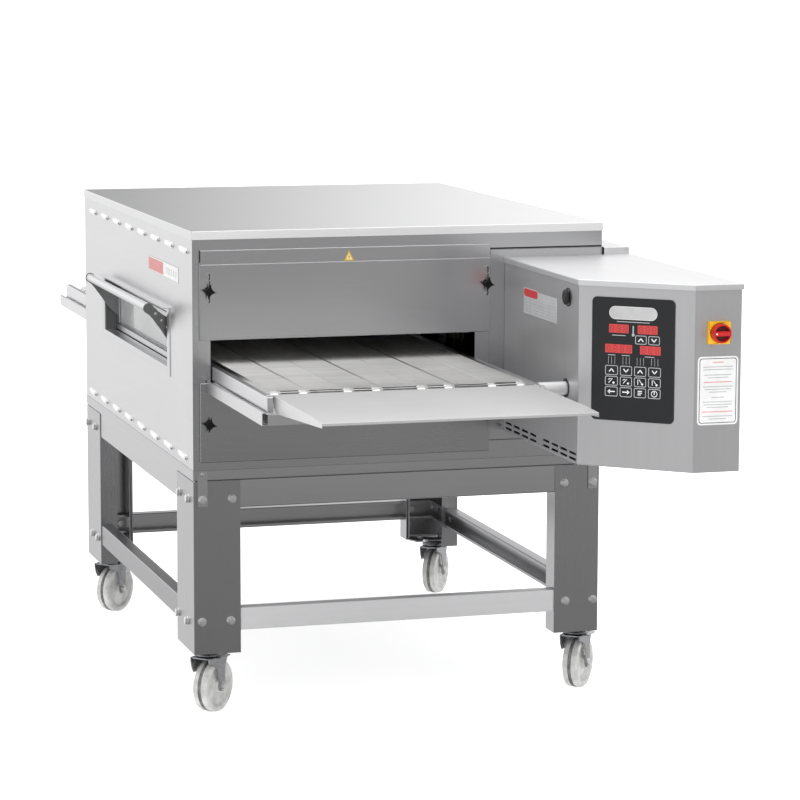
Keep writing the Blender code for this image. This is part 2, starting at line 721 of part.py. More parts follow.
def make_conveyor():
    left = cut(box(RAIL_X0, RAIL_X0 + RAIL_W, CONVEYOR_FRONT, CONVEYOR_REAR, RAIL_BOTTOM, RAIL_TOP),
               box(RAIL_X0 + PLATE, RAIL_X0 + RAIL_W + CUT, CONVEYOR_FRONT + PLATE,
                   CONVEYOR_REAR - PLATE, RAIL_BOTTOM + PLATE, RAIL_TOP - PLATE))
    right = mirrored_x(left, (RAIL_X0 + RAIL_X1) / 2.0)
    right = cut(right, rod("X", DRIVE_Y, SHAFT_Z, SHAFT_R + 1.5, RAIL_X1 - 8.0, RAIL_X1 + 5.0))
    node("conveyor_left_rail", left, PALE_STEEL)
    node("conveyor_right_rail", right, PALE_STEEL)

    outer = belt_arc(DRIVE_Y, BELT_R, 90.0) + belt_arc(IDLER_Y, BELT_R, 270.0)
    inner_r = BELT_R - BELT_T
    inner = belt_arc(DRIVE_Y, inner_r, 90.0) + belt_arc(IDLER_Y, inner_r, 270.0)
    m = len(outer)
    verts = [(x, y, z) for x in (BELT_X0, BELT_X1) for y, z in outer + inner]
    faces = []
    for i in range(m):
        j = (i + 1) % m
        faces.append((i, j, m + j, m + i))
        faces.append((2 * m + i, 2 * m + j, 3 * m + j, 3 * m + i))
        faces.append((i, j, 2 * m + j, 2 * m + i))
        faces.append((m + i, m + j, 3 * m + j, 3 * m + i))
    node("wire_belt", (verts, faces), STEEL, smooth=True)

    wheels = [sprocket(x, DRIVE_Y) for x in SPROCKET_X]
    drive = fuse(rod("X", DRIVE_Y, SHAFT_Z, SHAFT_R, *DRIVE_X, 20), group(wheels))
    node("drive_shaft", drive, STEEL, pivot=(BODY_W / 2.0, DRIVE_Y, SHAFT_Z), smooth=True)
    wheels = [sprocket(x, IDLER_Y) for x in SPROCKET_X]
    idler = fuse(rod("X", IDLER_Y, SHAFT_Z, SHAFT_R, *IDLER_X, 20), group(wheels))
    node("idler_shaft", idler, STEEL, pivot=(BODY_W / 2.0, IDLER_Y, SHAFT_Z), smooth=True)


def crumb_pan(y0, y1):
    """Shallow pan under the belt with a folded slide along each side."""
    pan = tray_shape(RAIL_X0, RAIL_X1, y0, y1, PAN_BOTTOM, PAN_TOP, SHEET)
    hem = [(PAN_X0, PAN_BOTTOM), (RAIL_X0 + CUT, PAN_BOTTOM), (RAIL_X0 + CUT, PAN_BOTTOM + SHEET),
           (PAN_X0 + SHEET, PAN_BOTTOM + SHEET), (PAN_X0 + SHEET, PAN_LIP_TOP - SHEET),
           (PAN_X0 + PAN_LIP_W, PAN_LIP_TOP - SHEET), (PAN_X0 + PAN_LIP_W, PAN_LIP_TOP),
           (PAN_X0, PAN_LIP_TOP)]
    left_hem = prism(hem, "Y", y0, y1)
    right_hem = mirrored_x(left_hem, (RAIL_X0 + RAIL_X1) / 2.0)
    return fuse(pan, left_hem, right_hem)


def tray_hook(edge_x, tip_x):
    """Hook from the side of the exit tray at edge_x over the conveyor rail at tip_x."""
    inner_x = edge_x + math.copysign(SHEET, edge_x - tip_x)
    z = RAIL_TOP + GAP
    over = box(min(tip_x, inner_x), max(tip_x, inner_x), *HOOK_Y, z, z + SHEET)
    down = box(min(edge_x, inner_x), max(edge_x, inner_x), *HOOK_Y, TRAY_Z - 5.0, z + SHEET / 2.0)
    return over, down


def make_trays():
    bend = TRAY_FRONT + TRAY_NOSE
    side = [(TRAY_REAR, TRAY_Z), (TRAY_REAR, TRAY_Z - 10.0), TRAY_BELLY,
            (TRAY_FRONT, TRAY_NOSE_LOW), (TRAY_FRONT, TRAY_NOSE_TOP), (bend, TRAY_Z)]
    top = [(TRAY_REAR, TRAY_Z), (TRAY_REAR, TRAY_Z - SHEET), (bend, TRAY_Z - SHEET),
           (TRAY_FRONT + SHEET, TRAY_NOSE_TOP - SHEET), (TRAY_FRONT + SHEET, TRAY_NOSE_TOP - 5.5),
           (TRAY_FRONT, TRAY_NOSE_TOP - 5.5), (TRAY_FRONT, TRAY_NOSE_TOP), (bend, TRAY_Z)]
    tray = fuse(prism(top, "X", TRAY_X0, TRAY_X1), prism(side, "X", TRAY_X0, TRAY_X0 + SHEET),
                prism(side, "X", TRAY_X1 - SHEET, TRAY_X1),
                *tray_hook(TRAY_X0, RAIL_X0 + 3.0), *tray_hook(TRAY_X1, RAIL_X1 - 3.0))
    mid_x = (TRAY_X0 + TRAY_X1) / 2.0
    node("exit_tray", tray, PALE_STEEL, pivot=(mid_x, TRAY_REAR, TRAY_Z))

    beside = COVER_DEEP + 1.2
    front_y = CONVEYOR_FRONT - 6.0
    node("front_crumb_pan", crumb_pan(front_y, -beside), STEEL, pivot=(mid_x, front_y, PAN_BOTTOM))
    rear_y = CONVEYOR_REAR + 30.0
    node("rear_crumb_pan", crumb_pan(BODY_D + beside, rear_y), STEEL,
         pivot=(mid_x, rear_y, PAN_BOTTOM))


# ---------------------------------------------------------------- drive and control box
def face_plate(outline, t0, t1):
    """Flat piece on the slanted face; outline is (distance along the face, height)."""
    p = np.array(BOX_PLAN[1])
    q = np.array(BOX_PLAN[2])
    along = (q - p) / np.linalg.norm(q - p)
    out = np.array((along[1], -along[0]))
    flat = prism(outline, "Y", t0, t1)
    verts = []
    for u, t, z in flat[0]:
        xy = p + along * u + out * t
        verts.append((float(xy[0]), float(xy[1]), z))
    return verts, flat[1]


def make_control():
    plan = list(BOX_PLAN)
    wall_x = BOX_PLAN[0][0]
    through = (wall_x - 6.0, wall_x + 4.0)
    shell = cut(prism(plan, "Z", BOX_BOTTOM, BOX_TOP),
                prism(inset(plan, SHEET), "Z", BOX_BOTTOM + SHEET, BOX_TOP + CUT))
    vents = []
    for row_z in VENT_ROWS:
        for start in VENT_STARTS:
            for i in range(VENT_COUNT):
                y = start - VENT_PITCH * i
                vents.append(box(*through, y - VENT_LONG, y, row_z - VENT_H / 2.0,
                                 row_z + VENT_H / 2.0))
    shell = cut(shell, *vents, rod("X", DRIVE_Y, SHAFT_Z, SHAFT_HOLE_R, *through),
                rod("X", *RESET_AT, RESET_R + 1.5, *through))
    node("control_box", shell, STEEL)

    lid = cut(prism(LID_PLAN, "Z", LID_TOP - LID_SKIRT, LID_TOP),
              prism(LID_HOLLOW, "Z", LID_TOP - LID_SKIRT - CUT, LID_TOP - SHEET))
    node("control_box_lid", lid, PALE_STEEL)

    film = face_plate(round_rect(*FILM, FILM_CORNER_R), GAP, GAP + FILM_T)
    node("keypad_overlay", film, BLACK)

    cx, cz = ISOLATOR_AT
    face_y = BOX_PLAN[2][1]
    plate = round_rect(cx - 25.5, cx + 26.0, cz - 25.0, cz + 25.0, 3.0, 4)
    node("isolator_plate", prism(plate, "Y", face_y - 6.0, face_y - GAP), YELLOW)
    dial = fuse(prism(circle(cx, cz, DIAL_R, 24), "Y", face_y - 24.0, face_y - 6.0 - GAP),
                prism(circle(cx, cz, DIAL_R - 3.5, 24), "Y", face_y - 27.0, face_y - 23.0),
                prism(round_rect(cx - DIAL_R, cx + 16.0, cz - 5.0, cz + 5.0, 4.0), "Y",
                      face_y - 31.0, face_y - 22.0))
    node("isolator_knob", dial, RED, pivot=(cx, face_y - 6.0, cz), smooth=True)

    button = fuse(rod("X", *RESET_AT, 17.0, 746.5, 751.5, 24),
                  rod("X", *RESET_AT, 13.0, 745.0, 747.0, 16),
                  rod("X", *RESET_AT, RESET_R, 751.0, 775.0, 12))
    node("reset_button", button, BLACK, pivot=(751.0, *RESET_AT), smooth=True)

    gear = fuse(box(776.0, 838.0, DRIVE_Y - 50.0, DRIVE_Y + 50.0, -386.0, -282.0),
                box(757.9, 763.0, DRIVE_Y - 58.0, DRIVE_Y + 58.0, -394.0, -266.0),
                rod("X", DRIVE_Y, SHAFT_Z, 30.0, 762.0, 777.0, 20),
                rod("Y", 807.0, SHAFT_Z, 36.0, DRIVE_Y + 49.0, DRIVE_Y + 202.0, 20))
    gear = cut(gear, rod("X", DRIVE_Y, SHAFT_Z, SHAFT_R + LAP, 750.0, 845.0))
    node("gearmotor", gear, GREY_PAINT, smooth=True)

    cover = cut(box(HOUSING_X0, HOUSING_X1, 0.0, BODY_D, HOUSING_BOTTOM, HOUSING_TOP),
                box(HOUSING_X0 - CUT, HOUSING_X1 - SHEET, SHEET, BODY_D - SHEET,
                    HOUSING_BOTTOM + SHEET, HOUSING_TOP - SHEET))
    tabs = [box(BODY_W + GAP, HOUSING_X0 + 4.0, y, y + 30.0, z, z + SHEET)
            for y in (80.0, BODY_D - 110.0) for z in (HOUSING_BOTTOM, HOUSING_TOP - SHEET)]
    node("right_side_housing", fuse(cover, group(tabs)), STEEL)


# ---------------------------------------------------------------- stand
def leg_shape():
    """Front left leg: front web, outer flange and inner lip, both with returned edges, foot."""
    section = [(0.0, 0.0), (LEG_W, 0.0), (LEG_W, LEG_LIP), (LEG_W - LIP_RETURN, LEG_LIP),
               (LEG_W - LIP_RETURN, LEG_LIP - PLATE), (LEG_W - PLATE, LEG_LIP - PLATE),
               (LEG_W - PLATE, PLATE), (PLATE, PLATE), (PLATE, LEG_D - PLATE),
               (LEG_RETURN, LEG_D - PLATE), (LEG_RETURN, LEG_D), (0.0, LEG_D)]
    edge = FOOT_EDGE
    foot = [(edge, edge), (LEG_W - edge, edge), (LEG_W - edge, LEG_LIP - edge),
            (FOOT_CORNER_X, FOOT_D), (edge, FOOT_D)]
    near = PLATE + GAP / 2.0
    far = PLATE + RAIL_FLANGE + 2.0 * GAP
    through_lip = (LEG_W - PLATE - CUT, LEG_W + CUT, near, far)
    through_return = (near, far, LEG_D - PLATE - CUT, LEG_D + CUT)
    notches = [box(*span, z0, z1) for span in (through_lip, through_return)
               for z0, z1 in ((STAND_TOP - TOP_RAIL_H - GAP, LEG_TOP + CUT),
                              (LOW_RAIL_BOTTOM - GAP, LOW_RAIL_TOP + GAP))]
    body = cut(prism(section, "Z", LEG_BOTTOM, LEG_TOP), *notches)
    return fuse(body, prism(foot, "Z", LEG_BOTTOM, LEG_BOTTOM + FOOT_T))


def make_stand():
    leg = leg_shape()
    for front, left, name in ((True, True, "front_left"), (True, False, "front_right"),
                              (False, True, "rear_left"), (False, False, "rear_right")):
        shape = leg if left else mirrored_x(leg, BODY_W / 2.0)
        shape = shape if front else mirrored_y(shape)
        node("stand_%s_leg" % name, shape, STEEL)

    t = PLATE
    low = STAND_TOP - TOP_RAIL_H
    channel = [(0.0, low), (RAIL_FLANGE, low), (RAIL_FLANGE, low + t), (t, low + t),
               (t, STAND_TOP - t), (RAIL_FLANGE, STAND_TOP - t), (RAIL_FLANGE, STAND_TOP),
               (0.0, STAND_TOP)]
    e = PLATE + GAP
    node("stand_top_frame", around(channel, e, BODY_W - e, e, BODY_D - e), STEEL)

    z0 = LOW_RAIL_BOTTOM
    z1 = LOW_RAIL_TOP
    w = RAIL_FLANGE
    h = RAIL_HEM
    section = [(0.0, z0), (w, z0), (w, z0 + h), (w - t, z0 + h), (w - t, z0 + t), (t, z0 + t),
               (t, z1 - t), (w - t, z1 - t), (w - t, z1 - h), (w, z1 - h), (w, z1), (0.0, z1)]
    front = prism([(e + d, z) for d, z in section], "X", e, BODY_W - e)
    node("stand_front_lower_rail", front, STEEL)
    node("stand_rear_lower_rail", mirrored_y(front), STEEL)
    inner = e + RAIL_FLANGE + GAP
    side = prism([(e + d, z) for d, z in section], "Y", inner, BODY_D - inner)
    node("stand_left_lower_rail", side, STEEL)
    node("stand_right_lower_rail", mirrored_x(side, BODY_W / 2.0), STEEL)


def wheel_shape(cx, cy, cz):
    """Wheel turned about the Y axis: hub, recessed web, rim, and a bore for the axle."""
    h = WHEEL_W / 2.0
    half = [(AXLE_R + 0.6, h + 4.0), (HUB_R, h + 4.0), (HUB_R + 1.0, h - 5.0),
            (RIM_R - 5.0, h - 6.0), (RIM_R, h - 1.0), (WHEEL_R, h - 6.0)]
    profile = [(r, cy + d) for r, d in half] + [(r, cy - d) for r, d in reversed(half)]
    return turned(profile, "Y", cx, cz, 24)


def fork_shape(cx, cy, wheel_x, wheel_z):
    """Swivel head, crown, two blades and the axle bolt of one castor."""
    top = LEG_BOTTOM - GAP
    y_in = WHEEL_W / 2.0 + 5.5
    y_out = y_in + FORK_T
    back = cx - CROWN_BACK
    front = cx + CROWN_FRONT
    under = top - HEAD_H
    crown = prism(round_rect(back, front, cy - y_out, cy + y_out, 12.0, 3), "Z",
                  under - 4.0, under)
    head = rod("Z", cx, cy, HEAD_R, under - 1.0, top, 20)
    blade = [(back, under), (front, under), (front, top - 26.0),
             (wheel_x + 10.0, wheel_z - 6.0), (wheel_x, wheel_z - 11.0),
             (wheel_x - 10.0, wheel_z - 4.0), (cx - 10.0, top - 44.0), (back, top - 24.0)]
    near = prism(blade, "Y", cy - y_out, cy - y_in)
    far = prism(blade, "Y", cy + y_in, cy + y_out)
    axle = rod("Y", wheel_x, wheel_z, AXLE_R, cy - y_out - 5.0, cy + y_out + 5.0, 12)
    return fuse(crown, head, near, far, axle)


def make_castors():
    for name, cx, cy, turn in CASTORS:
        wheel_x = cx + TRAIL
        wheel_z = FLOOR + WHEEL_R
        fork = turned_z(fork_shape(cx, cy, wheel_x, wheel_z), cx, cy, turn)
        wheel = turned_z(wheel_shape(wheel_x, cy, wheel_z), cx, cy, turn)
        a = math.radians(turn)
        hub = (cx + TRAIL * math.cos(a), cy + TRAIL * math.sin(a), wheel_z)
        node("%s_castor_fork" % name, fork, ZINC, pivot=(cx, cy, LEG_BOTTOM), smooth=True)
        node("%s_castor_wheel" % name, wheel, WHITE, pivot=hub, smooth=True)


make_body()
make_inside()
make_covers()
make_door()
make_conveyor()
make_trays()
make_control()
make_stand()
make_castors()
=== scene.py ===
"""Looks of the conveyor pizza oven: materials, fine meshes, studio and camera.

Places are millimetres from the front left top corner of the oven body (X right, Y back,
Z up), the same construction frame as the CAD model; at() turns them into metres.
"""
import json
import math

import bmesh
import bpy
from mathutils import Matrix, Vector


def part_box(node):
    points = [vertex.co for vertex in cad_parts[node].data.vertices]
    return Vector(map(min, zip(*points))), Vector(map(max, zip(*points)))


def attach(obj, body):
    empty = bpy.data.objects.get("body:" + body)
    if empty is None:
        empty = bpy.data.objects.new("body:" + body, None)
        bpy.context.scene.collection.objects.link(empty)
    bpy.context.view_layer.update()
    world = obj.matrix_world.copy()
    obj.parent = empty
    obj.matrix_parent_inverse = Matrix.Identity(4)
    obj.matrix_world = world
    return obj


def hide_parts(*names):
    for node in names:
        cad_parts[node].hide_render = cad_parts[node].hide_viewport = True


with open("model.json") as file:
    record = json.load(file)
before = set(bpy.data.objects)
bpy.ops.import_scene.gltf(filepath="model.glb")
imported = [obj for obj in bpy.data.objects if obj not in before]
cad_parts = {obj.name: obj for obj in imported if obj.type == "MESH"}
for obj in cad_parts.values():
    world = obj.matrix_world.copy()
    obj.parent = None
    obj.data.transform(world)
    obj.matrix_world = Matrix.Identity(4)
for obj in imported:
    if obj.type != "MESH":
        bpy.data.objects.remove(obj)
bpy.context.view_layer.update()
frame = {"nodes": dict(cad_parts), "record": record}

MM = 0.001
ROOF_OVERHANG = Vector((2.0, 3.0, 0.0))
roof_low, roof_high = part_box("roof_panel")
CORNER = Vector((roof_low.x, roof_low.y, roof_high.z)) + ROOF_OVERHANG * MM
NODE_BODY = {node: body for body, nodes in frame["record"]["behaviour"]["bodies"].items()
             for node in nodes}


def at(x, y, z):
    """Construction millimetres to metres in the machine frame."""
    return CORNER + Vector((x, y, z)) * MM


def low(node):
    """Lowest corner of a CAD node in construction millimetres."""
    return (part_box(node)[0] - CORNER) / MM


def high(node):
    """Highest corner of a CAD node in construction millimetres."""
    return (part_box(node)[1] - CORNER) / MM


def mid(node):
    """Middle of a CAD node in construction millimetres."""
    return (low(node) + high(node)) / 2.0


def placed(name, data):
    """New object of this data, linked into the scene."""
    obj = bpy.data.objects.new(name, data)
    bpy.context.scene.collection.objects.link(obj)
    return obj


# ---------------------------------------------------------------- camera, studio
LENS = 140.67
SENSOR = 36.0
CAMERA_AT = (-1570.5, -6988.35, 641.0)
YAW = 0.287926
PITCH = 0.143107
ROLL = 0.00331819


def make_camera():
    data = bpy.data.cameras.new("camera")
    data.lens = LENS
    data.sensor_width = SENSOR
    data.clip_end = 100.0
    camera = placed("camera", data)
    ahead = Vector((math.sin(YAW) * math.cos(PITCH), math.cos(YAW) * math.cos(PITCH),
                    -math.sin(PITCH)))
    level = Vector((math.cos(YAW), -math.sin(YAW), 0.0))
    above = level.cross(ahead)
    right = level * math.cos(ROLL) + above * math.sin(ROLL)
    up = right.cross(ahead)
    turn = Matrix((right, up, -ahead)).transposed()
    camera.matrix_world = Matrix.Translation(at(*CAMERA_AT)) @ turn.to_4x4()
    bpy.context.scene.camera = camera


def area_light(name, where, towards, size, power, seen=True):
    data = bpy.data.lights.new(name, "AREA")
    data.shape = "RECTANGLE"
    data.size, data.size_y = size
    data.energy = power
    light = placed(name, data)
    light.location = where
    light.rotation_euler = (Vector(towards) - Vector(where)).to_track_quat("-Z", "Y").to_euler()
    light.visible_camera = False
    light.visible_glossy = seen


def tie(tree, out, into):
    tree.links.new(out, into)


def ramp(tree, value, from_low, from_high, to_low, to_high):
    """Smooth map of one range onto another."""
    step = tree.nodes.new("ShaderNodeMapRange")
    step.interpolation_type = "SMOOTHSTEP"
    for slot, number in zip(("From Min", "From Max", "To Min", "To Max"),
                            (from_low, from_high, to_low, to_high)):
        step.inputs[slot].default_value = number
    tie(tree, value, step.inputs["Value"])
    return step.outputs["Result"]


def maths(tree, kind, a, b):
    step = tree.nodes.new("ShaderNodeMath")
    step.operation = kind
    for i, value in enumerate((a, b)):
        if isinstance(value, (int, float)):
            step.inputs[i].default_value = value
        else:
            tie(tree, value, step.inputs[i])
    return step.outputs[0]


def make_world():
    """White room; in reflections it is bright behind the oven and dim towards the camera."""
    world = bpy.data.worlds.new("studio")
    world.use_nodes = True
    world.cycles.sampling_method = "NONE"
    tree = world.node_tree
    coords = tree.nodes.new("ShaderNodeTexCoord")
    split = tree.nodes.new("ShaderNodeSeparateXYZ")
    tie(tree, coords.outputs["Generated"], split.inputs[0])
    x, y, z = split.outputs
    behind = ramp(tree, y, -0.25, 0.85, 0.0, 1.0)
    dim_side = maths(tree, "MULTIPLY", ramp(tree, z, -0.22, -0.02, 0.16, 0.54),
                     ramp(tree, x, 0.12, 0.42, 0.84, 1.26))
    across_back = maths(tree, "ADD", ramp(tree, x, 0.15, 0.35, 0.33, 1.03),
                        ramp(tree, x, -0.1, 0.14, 0.68, 0.0))
    bright_side = maths(tree, "MULTIPLY", ramp(tree, z, -0.3, 0.1, 0.78, 1.12), across_back)
    from_left = ramp(tree, x, -0.95, -0.35, 0.4, 0.0)
    back = maths(tree, "MULTIPLY", behind, bright_side)
    rest = maths(tree, "MULTIPLY", maths(tree, "SUBTRACT", 1.0, behind),
                 maths(tree, "ADD", dim_side, from_left))
    level = maths(tree, "ADD", back, rest)
    rays = tree.nodes.new("ShaderNodeLightPath")
    mirrored = tree.nodes["Background"]
    tie(tree, level, mirrored.inputs["Strength"])
    mirrored.inputs["Color"].default_value = (1.0, 1.0, 1.0, 1.0)
    plain = tree.nodes.new("ShaderNodeBackground")
    plain.inputs["Color"].default_value = (1.0, 1.0, 1.0, 1.0)
    plain.inputs["Strength"].default_value = 1.04
    pick = tree.nodes.new("ShaderNodeMixShader")
    tie(tree, rays.outputs["Is Glossy Ray"], pick.inputs[0])
    tie(tree, plain.outputs[0], pick.inputs[1])
    tie(tree, mirrored.outputs[0], pick.inputs[2])
    tie(tree, pick.outputs[0], tree.nodes["World Output"].inputs["Surface"])
    bpy.context.scene.world = world


def make_studio():
    bpy.context.scene.view_settings.view_transform = "Standard"
    make_world()
    half = 20.0
    mesh = bpy.data.meshes.new("floor")
    mesh.from_pydata([(-half, -half, 0.0), (half, -half, 0.0), (half, half, 0.0),
                      (-half, half, 0.0)], [], [(0, 1, 2, 3)])
    floor = placed("floor", mesh)
    floor.data.materials.append(floor_paper())
    floor.visible_glossy = False
    area_light("overhead", (0.2, -0.6, 4.2), (0.1, -0.1, 0.6), (4.0, 3.4), 62.0)
    area_light("front_left", (-3.6, -4.2, 2.6), (-0.1, -0.2, 0.6), (2.2, 2.2), 20.0, seen=False)
    area_light("front_right", (3.4, -4.6, 2.2), (0.2, -0.2, 0.6), (2.0, 2.0), 12.0, seen=False)


# ---------------------------------------------------------------- materials
def blank(name, colour, rough, metal):
    mat = bpy.data.materials.new(name)
    mat.use_nodes = True
    shader = mat.node_tree.nodes["Principled BSDF"]
    shader.inputs["Base Color"].default_value = (*colour, 1.0)
    shader.inputs["Roughness"].default_value = rough
    shader.inputs["Metallic"].default_value = metal
    return mat, mat.node_tree, shader


def noise(tree, scale, detail=3.0):
    """Noise in cycles to the metre, by one scale or by a scale for each axis."""
    coords = tree.nodes.new("ShaderNodeTexCoord")
    mapping = tree.nodes.new("ShaderNodeMapping")
    mapping.inputs["Scale"].default_value = (scale,) * 3 if isinstance(scale, float) else scale
    texture = tree.nodes.new("ShaderNodeTexNoise")
    texture.inputs["Scale"].default_value = 1.0
    texture.inputs["Detail"].default_value = detail
    tie(tree, coords.outputs["Object"], mapping.inputs["Vector"])
    tie(tree, mapping.outputs[0], texture.inputs["Vector"])
    return texture.outputs["Fac"]


def tint(tree, shader, fac, dark, light):
    """Base colour between two tones."""
    mix = tree.nodes.new("ShaderNodeMix")
    mix.data_type = "RGBA"
    tie(tree, fac, mix.inputs["Factor"])
    mix.inputs[6].default_value = (*dark, 1.0)
    mix.inputs[7].default_value = (*light, 1.0)
    tie(tree, mix.outputs[2], shader.inputs["Base Color"])


def bump(tree, shader, height, strength, distance):
    relief = tree.nodes.new("ShaderNodeBump")
    relief.inputs["Strength"].default_value = strength
    relief.inputs["Distance"].default_value = distance
    tie(tree, height, relief.inputs["Height"])
    tie(tree, relief.outputs[0], shader.inputs["Normal"])


def shade(colour, factor):
    return tuple(min(1.0, c * factor) for c in colour)


BLUE_CAST = 0.01


def brushed(name, colour, rough, grain, depth=0.02, contrast=0.016, haze=0.02, metal=1.0):
    """Brushed sheet: fine scratches and broad streaks along one axis, cloudy handling marks.

    A single number as the colour is a grey with a trace of blue.
    """
    if isinstance(colour, float):
        colour = (colour, colour, colour + BLUE_CAST)
    mat, tree, shader = blank(name, colour, rough, metal)
    along = {"X": 0, "Y": 1, "Z": 2}[grain]
    fine = [620.0] * 3
    fine[along] = 5.0
    broad = [95.0] * 3
    broad[along] = 1.3
    scratches = noise(tree, fine, 4.0)
    streaks = noise(tree, broad, 3.0)
    clouds = noise(tree, 3.1, 2.0)
    tone = maths(tree, "ADD", maths(tree, "MULTIPLY", streaks, 0.45),
                 maths(tree, "MULTIPLY", clouds, 0.55))
    tint(tree, shader, ramp(tree, tone, 0.3, 0.7, 0.0, 1.0), shade(colour, 1.0 - contrast),
         shade(colour, 1.0 + contrast))
    wear = maths(tree, "ADD", maths(tree, "MULTIPLY", scratches, 0.6),
                 maths(tree, "MULTIPLY", clouds, 0.4))
    tie(tree, ramp(tree, wear, 0.3, 0.7, rough - haze, rough + haze), shader.inputs["Roughness"])
    bump(tree, shader, scratches, depth, 0.00025)
    return mat


def plastic(name, colour, rough, grain=160.0, depth=0.08, contrast=0.04, shine=0.5):
    """Moulded or coated surface: slight mottling and a fine skin texture."""
    mat, tree, shader = blank(name, colour, rough, 0.0)
    shader.inputs["Specular IOR Level"].default_value = shine
    skin = noise(tree, grain * 6.0, 3.0)
    mottle = noise(tree, grain * 0.2, 2.0)
    tint(tree, shader, ramp(tree, mottle, 0.3, 0.7, 0.0, 1.0), shade(colour, 1.0 - contrast),
         shade(colour, 1.0 + contrast))
    tie(tree, ramp(tree, skin, 0.3, 0.7, rough - 0.06, min(1.0, rough + 0.06)),
        shader.inputs["Roughness"])
    bump(tree, shader, skin, depth, 0.0002)
    return mat


def floor_paper():
    """Back-lit white paper."""
    mat = plastic("floor_paper", (0.93, 0.93, 0.93), 0.85, grain=40.0, contrast=0.004)
    shader = mat.node_tree.nodes["Principled BSDF"]
    shader.inputs["Emission Color"].default_value = (1.0, 1.0, 1.0, 1.0)
    shader.inputs["Emission Strength"].default_value = 0.6
    return mat


def patchy(mat, tree, shader, patches, edge, tones, rough, grit, depth):
    """Soft patches of tone and gloss over a fine grit."""
    tint(tree, shader, ramp(tree, patches, 0.35, edge, 0.0, 1.0), *tones)
    tie(tree, ramp(tree, patches, 0.3, 0.7, *rough), shader.inputs["Roughness"])
    bump(tree, shader, noise(tree, grit, 2.0), depth, 0.0002)
    return mat


def zinc_finish(name, colour, rough):
    """Zinc plate: pale blue-grey with soft patches."""
    mat, tree, shader = blank(name, colour, rough, 1.0)
    return patchy(mat, tree, shader, noise(tree, 60.0, 2.0), 0.65,
                  (shade(colour, 0.92), shade(colour, 1.06)), (rough - 0.06, rough + 0.06),
                  900.0, 0.06)


def nylon_finish():
    """White nylon, greyer where dust has settled in the moulding grain."""
    mat, tree, shader = blank("nylon", (0.8, 0.8, 0.78), 0.42, 0.0)
    shader.inputs["Subsurface Weight"].default_value = 0.08
    shader.inputs["Subsurface Radius"].default_value = (0.004, 0.004, 0.004)
    return patchy(mat, tree, shader, noise(tree, 46.0, 4.0), 0.7,
                  ((0.60, 0.60, 0.59), (0.44, 0.44, 0.43)), (0.36, 0.52), 700.0, 0.08)


def glass_finish():
    """Tempered glass with a grey cast and a faint film of grease."""
    mat, tree, shader = blank("door_glass", (0.62, 0.64, 0.64), 0.1, 0.0)
    film = noise(tree, 14.0, 4.0)
    tie(tree, ramp(tree, film, 0.3, 0.7, 0.05, 0.2), shader.inputs["Roughness"])
    bump(tree, shader, film, 0.03, 0.0004)
    shader.inputs["Transmission Weight"].default_value = 0.45
    shader.inputs["IOR"].default_value = 1.5
    return mat


def glow(name, colour, strength):
    """Lit red display element."""
    mat, tree, shader = blank(name, colour, 0.3, 0.0)
    cells = noise(tree, 1500.0, 1.0)
    tint(tree, shader, cells, shade(colour, 0.85), colour)
    shader.inputs["Emission Color"].default_value = (*colour, 1.0)
    shader.inputs["Emission Strength"].default_value = strength
    return mat


# ---------------------------------------------------------------- solids as (vertices, faces)
def place(axis, a, u, v):
    if axis == "X":
        return (a, u, v)
    if axis == "Y":
        return (u, a, v)
    return (u, v, a)


def prism(outline, axis, a0, a1):
    n = len(outline)
    verts = [place(axis, a, u, v) for a in (a0, a1) for u, v in outline]
    faces = [tuple(range(n)), tuple(range(n, 2 * n))]
    faces += [(i, (i + 1) % n, n + (i + 1) % n, n + i) for i in range(n)]
    return verts, faces


def frame_prism(outer, inner, axis, a0, a1):
    """Flat ring between two outlines with the same number of points."""
    n = len(outer)
    verts = [place(axis, a, u, v) for a in (a0, a1) for u, v in outer + inner]
    faces = []
    for i in range(n):
        j = (i + 1) % n
        faces.append((i, j, n + j, n + i))
        faces.append((2 * n + i, 2 * n + j, 3 * n + j, 3 * n + i))
        faces.append((i, j, 2 * n + j, 2 * n + i))
        faces.append((n + i, n + j, 3 * n + j, 3 * n + i))
    return verts, faces


def circle(u, v, r, n=32, turn=0.0):
    return [(u + r * math.cos(turn + math.tau * i / n), v + r * math.sin(turn + math.tau * i / n))
            for i in range(n)]


def rect(u0, u1, v0, v1):
    return [(u0, v0), (u1, v0), (u1, v1), (u0, v1)]


def round_rect(u0, u1, v0, v1, r, n=6):
    pts = []
    corners = ((u1 - r, v1 - r, 0.0), (u0 + r, v1 - r, 90.0),
               (u0 + r, v0 + r, 180.0), (u1 - r, v0 + r, 270.0))
    for cu, cv, start in corners:
        for i in range(n + 1):
            a = math.radians(start + 90.0 * i / n)
            pts.append((cu + r * math.cos(a), cv + r * math.sin(a)))
    return pts


def turned(profile, axis, u, v, n=48):
    """Surface turned about an axis; profile is (radius, distance), closed at both ends."""
    verts = []
    faces = []
    m = len(profile)
    for i in range(n):
        a = math.tau * i / n
        verts += [place(axis, d, u + r * math.cos(a), v + r * math.sin(a)) for r, d in profile]
    for i in range(n):
        j = (i + 1) % n
        faces += [(i * m + k, i * m + k + 1, j * m + k + 1, j * m + k) for k in range(m - 1)]
    faces.append(tuple(i * m for i in range(n)))
    faces.append(tuple(i * m + m - 1 for i in range(n)))
    return verts, faces


def bore(profile, axis, u, v, n=48):
    """Ring turned about an axis; profile is a closed loop of (radius, distance)."""
    verts = []
    faces = []
    m = len(profile)
    for i in range(n):
        a = math.tau * i / n
        verts += [place(axis, d, u + r * math.cos(a), v + r * math.sin(a)) for r, d in profile]
    for i in range(n):
        j = (i + 1) % n
        faces += [(i * m + k, i * m + (k + 1) % m, j * m + (k + 1) % m, j * m + k)
                  for k in range(m)]
    return verts, faces


